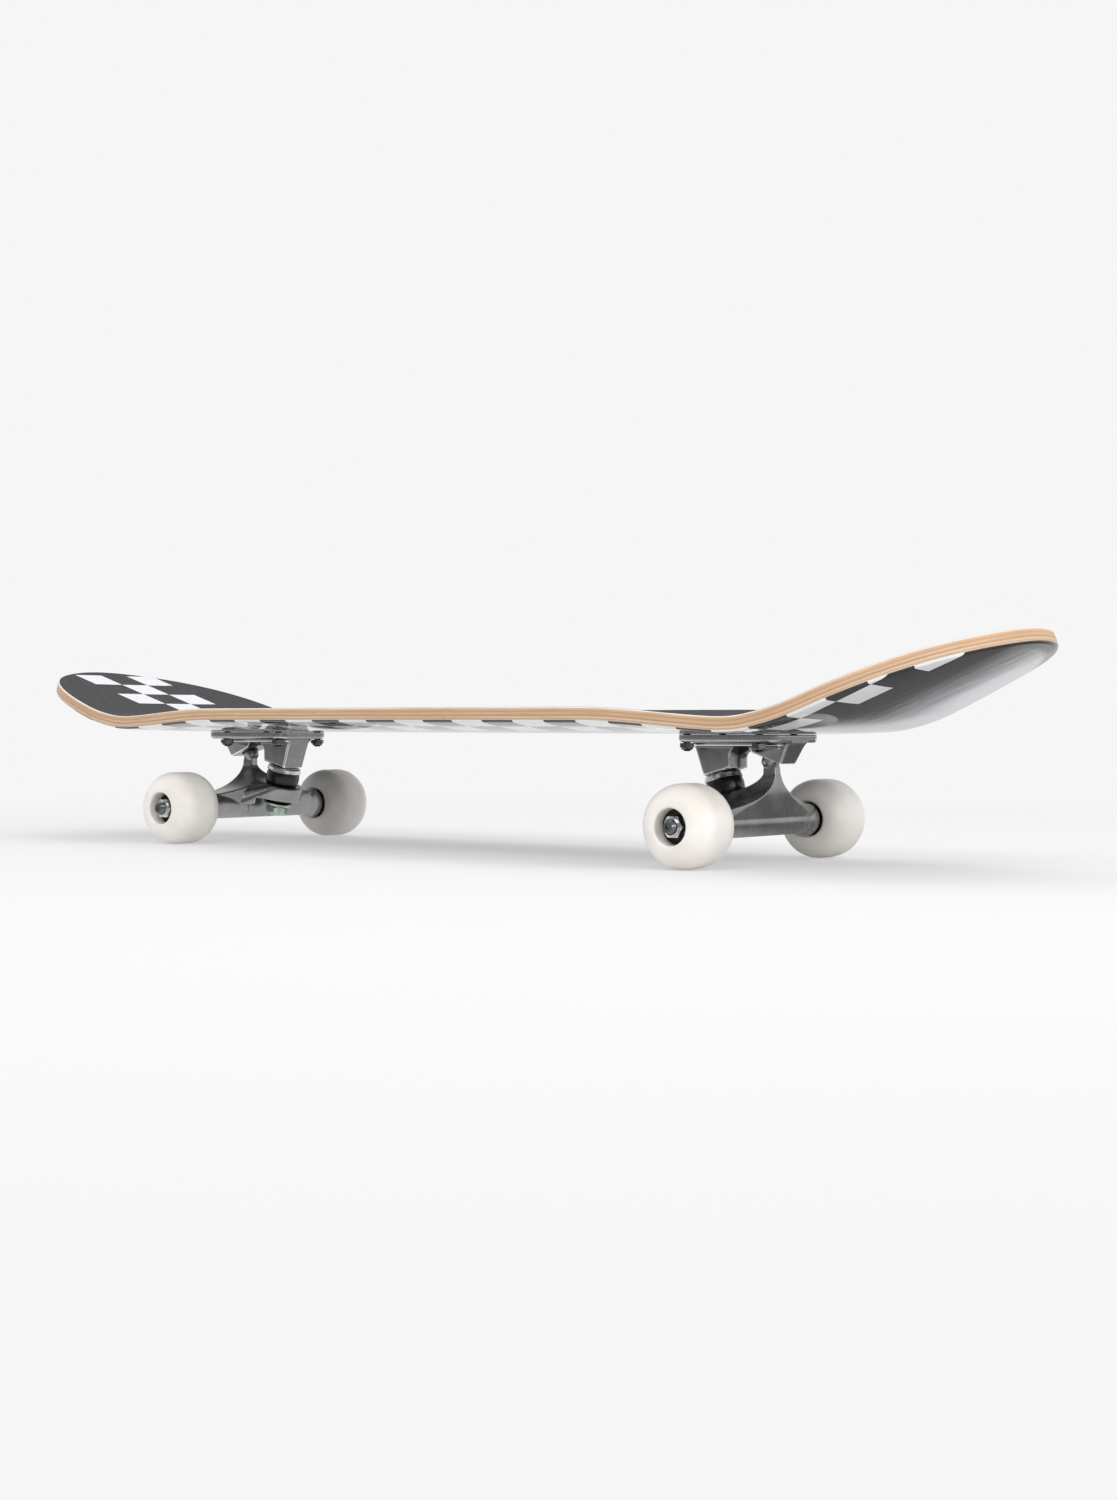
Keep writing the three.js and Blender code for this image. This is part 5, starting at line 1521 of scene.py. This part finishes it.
@dataclass(frozen=True)
class Studio:
    """A plain pale room with soft light."""

    paper: Rgb = (246, 246, 246)
    floor_low: Rgb = (232, 232, 232)
    floor_high: Rgb = (236, 236, 236)
    speckle: Grain = Grain(220, 2)
    sky: Rgb = (252, 252, 255)
    ambient: float = 0.75
    floor_half: float = 6.0
    floor_height: float = -0.0004
    fade: tuple[float, float, float, float] = (0.55, 1.3, 0.45, 1.0)
    shade_middle: Trio = (0.34, 0.17, 0.0)
    shade_reach: Flat = (0.12, 0.3)
    shade_depth: float = 0.25
    front_strength: float = 0.22
    floor_front: Flat = (-0.9, -0.25)
    air_front: Flat = (-0.8, 0.2)
    lamps: tuple[Lamp, ...] = (
        Lamp("key", (0.9, -2.0, 1.9), (1.6, 1.1), 18), Lamp("fill", (-2.0, -1.4, 1.2), (1.4, 1.4), 4),
        Lamp("side", (2.3, -0.5, 0.8), (1.5, 1.0), 16), Lamp("top", (0.0, 0.5, 2.2), (2.2, 1.4), 12))

    def build(self) -> None:
        """Makes the floor, the air and the lamps."""
        self.floor()
        self.air()
        for lamp in self.lamps:
            lamp.build()

    def floor(self) -> None:
        """A wide pale floor that takes the shadow, fades into the air and looks dimmer to what mirrors it."""
        half = self.floor_half
        corners = [(x / MM, y / MM, self.floor_height / MM)
                   for x, y in ((-half, -half), (half, -half), (half, half), (-half, half))]
        made = solid("floor", corners, [(0, 1, 2, 3)])
        recipe = Recipe(bpy.data.materials.new("floor_paper"))
        place, path = recipe.place(), recipe.add("LightPath").outputs
        far = recipe.graded(recipe.vector("LENGTH", place, output="Value"), *self.fade)
        colour = recipe.mixed(recipe.noise(place, self.speckle), self.floor_low, self.floor_high)
        moved = recipe.vector("SUBTRACT", place, self.shade_middle)
        dimmed = recipe.graded(recipe.vector("LENGTH", moved, output="Value"), *self.shade_reach, self.shade_depth, 1.0)
        in_front = recipe.graded(recipe.split(place)[1], *self.floor_front, self.front_strength, 1.0)
        strength = recipe.math("MAXIMUM", path["Is Camera Ray"], recipe.math("MULTIPLY", dimmed, in_front))
        straight = recipe.math("MULTIPLY", path["Is Camera Ray"], far)
        share = recipe.math("MAXIMUM", straight, self.sent_on(recipe, path))
        lit = recipe.add("BsdfDiffuse", {"Color": colour})
        glow = recipe.add("Emission", {"Color": tint(self.paper), "Strength": strength})
        recipe.shared(share, lit, glow, "OutputMaterial")
        made.data.materials.append(recipe.owner)

    def air(self) -> None:
        """Even light from all round, with the paper's colour where it is seen."""
        world = bpy.data.worlds.new("studio_air")
        bpy.context.scene.world = world
        recipe = Recipe(world)
        path = recipe.add("LightPath").outputs
        dimmed = recipe.graded(recipe.split(recipe.place("Generated"))[1], *self.air_front, self.front_strength, 1.0)
        strength = recipe.math("MAXIMUM", path["Is Camera Ray"], dimmed)
        seen = recipe.math("MAXIMUM", path["Is Camera Ray"], self.sent_on(recipe, path))
        lit = recipe.add("Background", {"Color": tint(self.sky), "Strength": self.ambient})
        paper = recipe.add("Background", {"Color": tint(self.paper), "Strength": strength})
        recipe.shared(seen, lit, paper, "OutputWorld")

    @staticmethod
    def sent_on(recipe: Recipe, path: bpy.types.NodeOutputs) -> Socket:
        """One for a ray that a shiny or clear surface sends on."""
        return recipe.math("MAXIMUM", path["Is Glossy Ray"], path["Is Transmission Ray"])


@dataclass(frozen=True)
class Viewpoint:
    """Where the camera stands and how it looks: degrees, millimetres, and the lens for a 36 mm long side."""

    azimuth: float = 37.44
    pitch: float = -0.54
    roll: float = 0.21
    stand: Trio = (942.1, -1153.5, 83.9)
    lens: float = 51.33
    clip_end: float = 60.0
    sensor: float = 36.0

    def build(self) -> None:
        """Makes the camera and gives it to the scene."""
        around, tip, lean = (math.radians(v) for v in (self.azimuth, 90 + self.pitch, self.roll))
        data = bpy.data.cameras.new("viewpoint")
        data.sensor_width, data.lens, data.clip_end = self.sensor, self.lens, self.clip_end
        made = bpy.data.objects.new("viewpoint", data)
        bpy.context.scene.collection.objects.link(made)
        made.matrix_world = (Matrix.Translation(Vector(self.stand) * MM) @ Matrix.Rotation(around, 4, "Z")
                             @ Matrix.Rotation(tip, 4, "X") @ Matrix.Rotation(lean, 4, "Z"))
        bpy.context.scene.camera = made


def main() -> None:
    """Builds the board, its trucks, wheels and hardware, and the room round them."""
    logging.basicConfig(level=logging.INFO, format="%(message)s")
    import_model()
    bpy.context.scene.view_settings.view_transform = "Standard"
    Viewpoint().build()
    Studio().build()
    frame = TruckFrame()
    castings = (Baseplate(frame).body(), Hanger(frame).body())
    board = Board(BoardShape((middle("nose_axle").x + middle("tail_axle").x) / 2))
    board.deck()
    board.grip()
    for end in ENDS:
        Truck(end, frame, castings).build()
        MountingSet().build(end)
        for hand in ("right", "left"):
            WheelSet().build(end, hand)
    discard(*castings)
    bpy.context.view_layer.update()


if __name__ == "__main__":
    main()
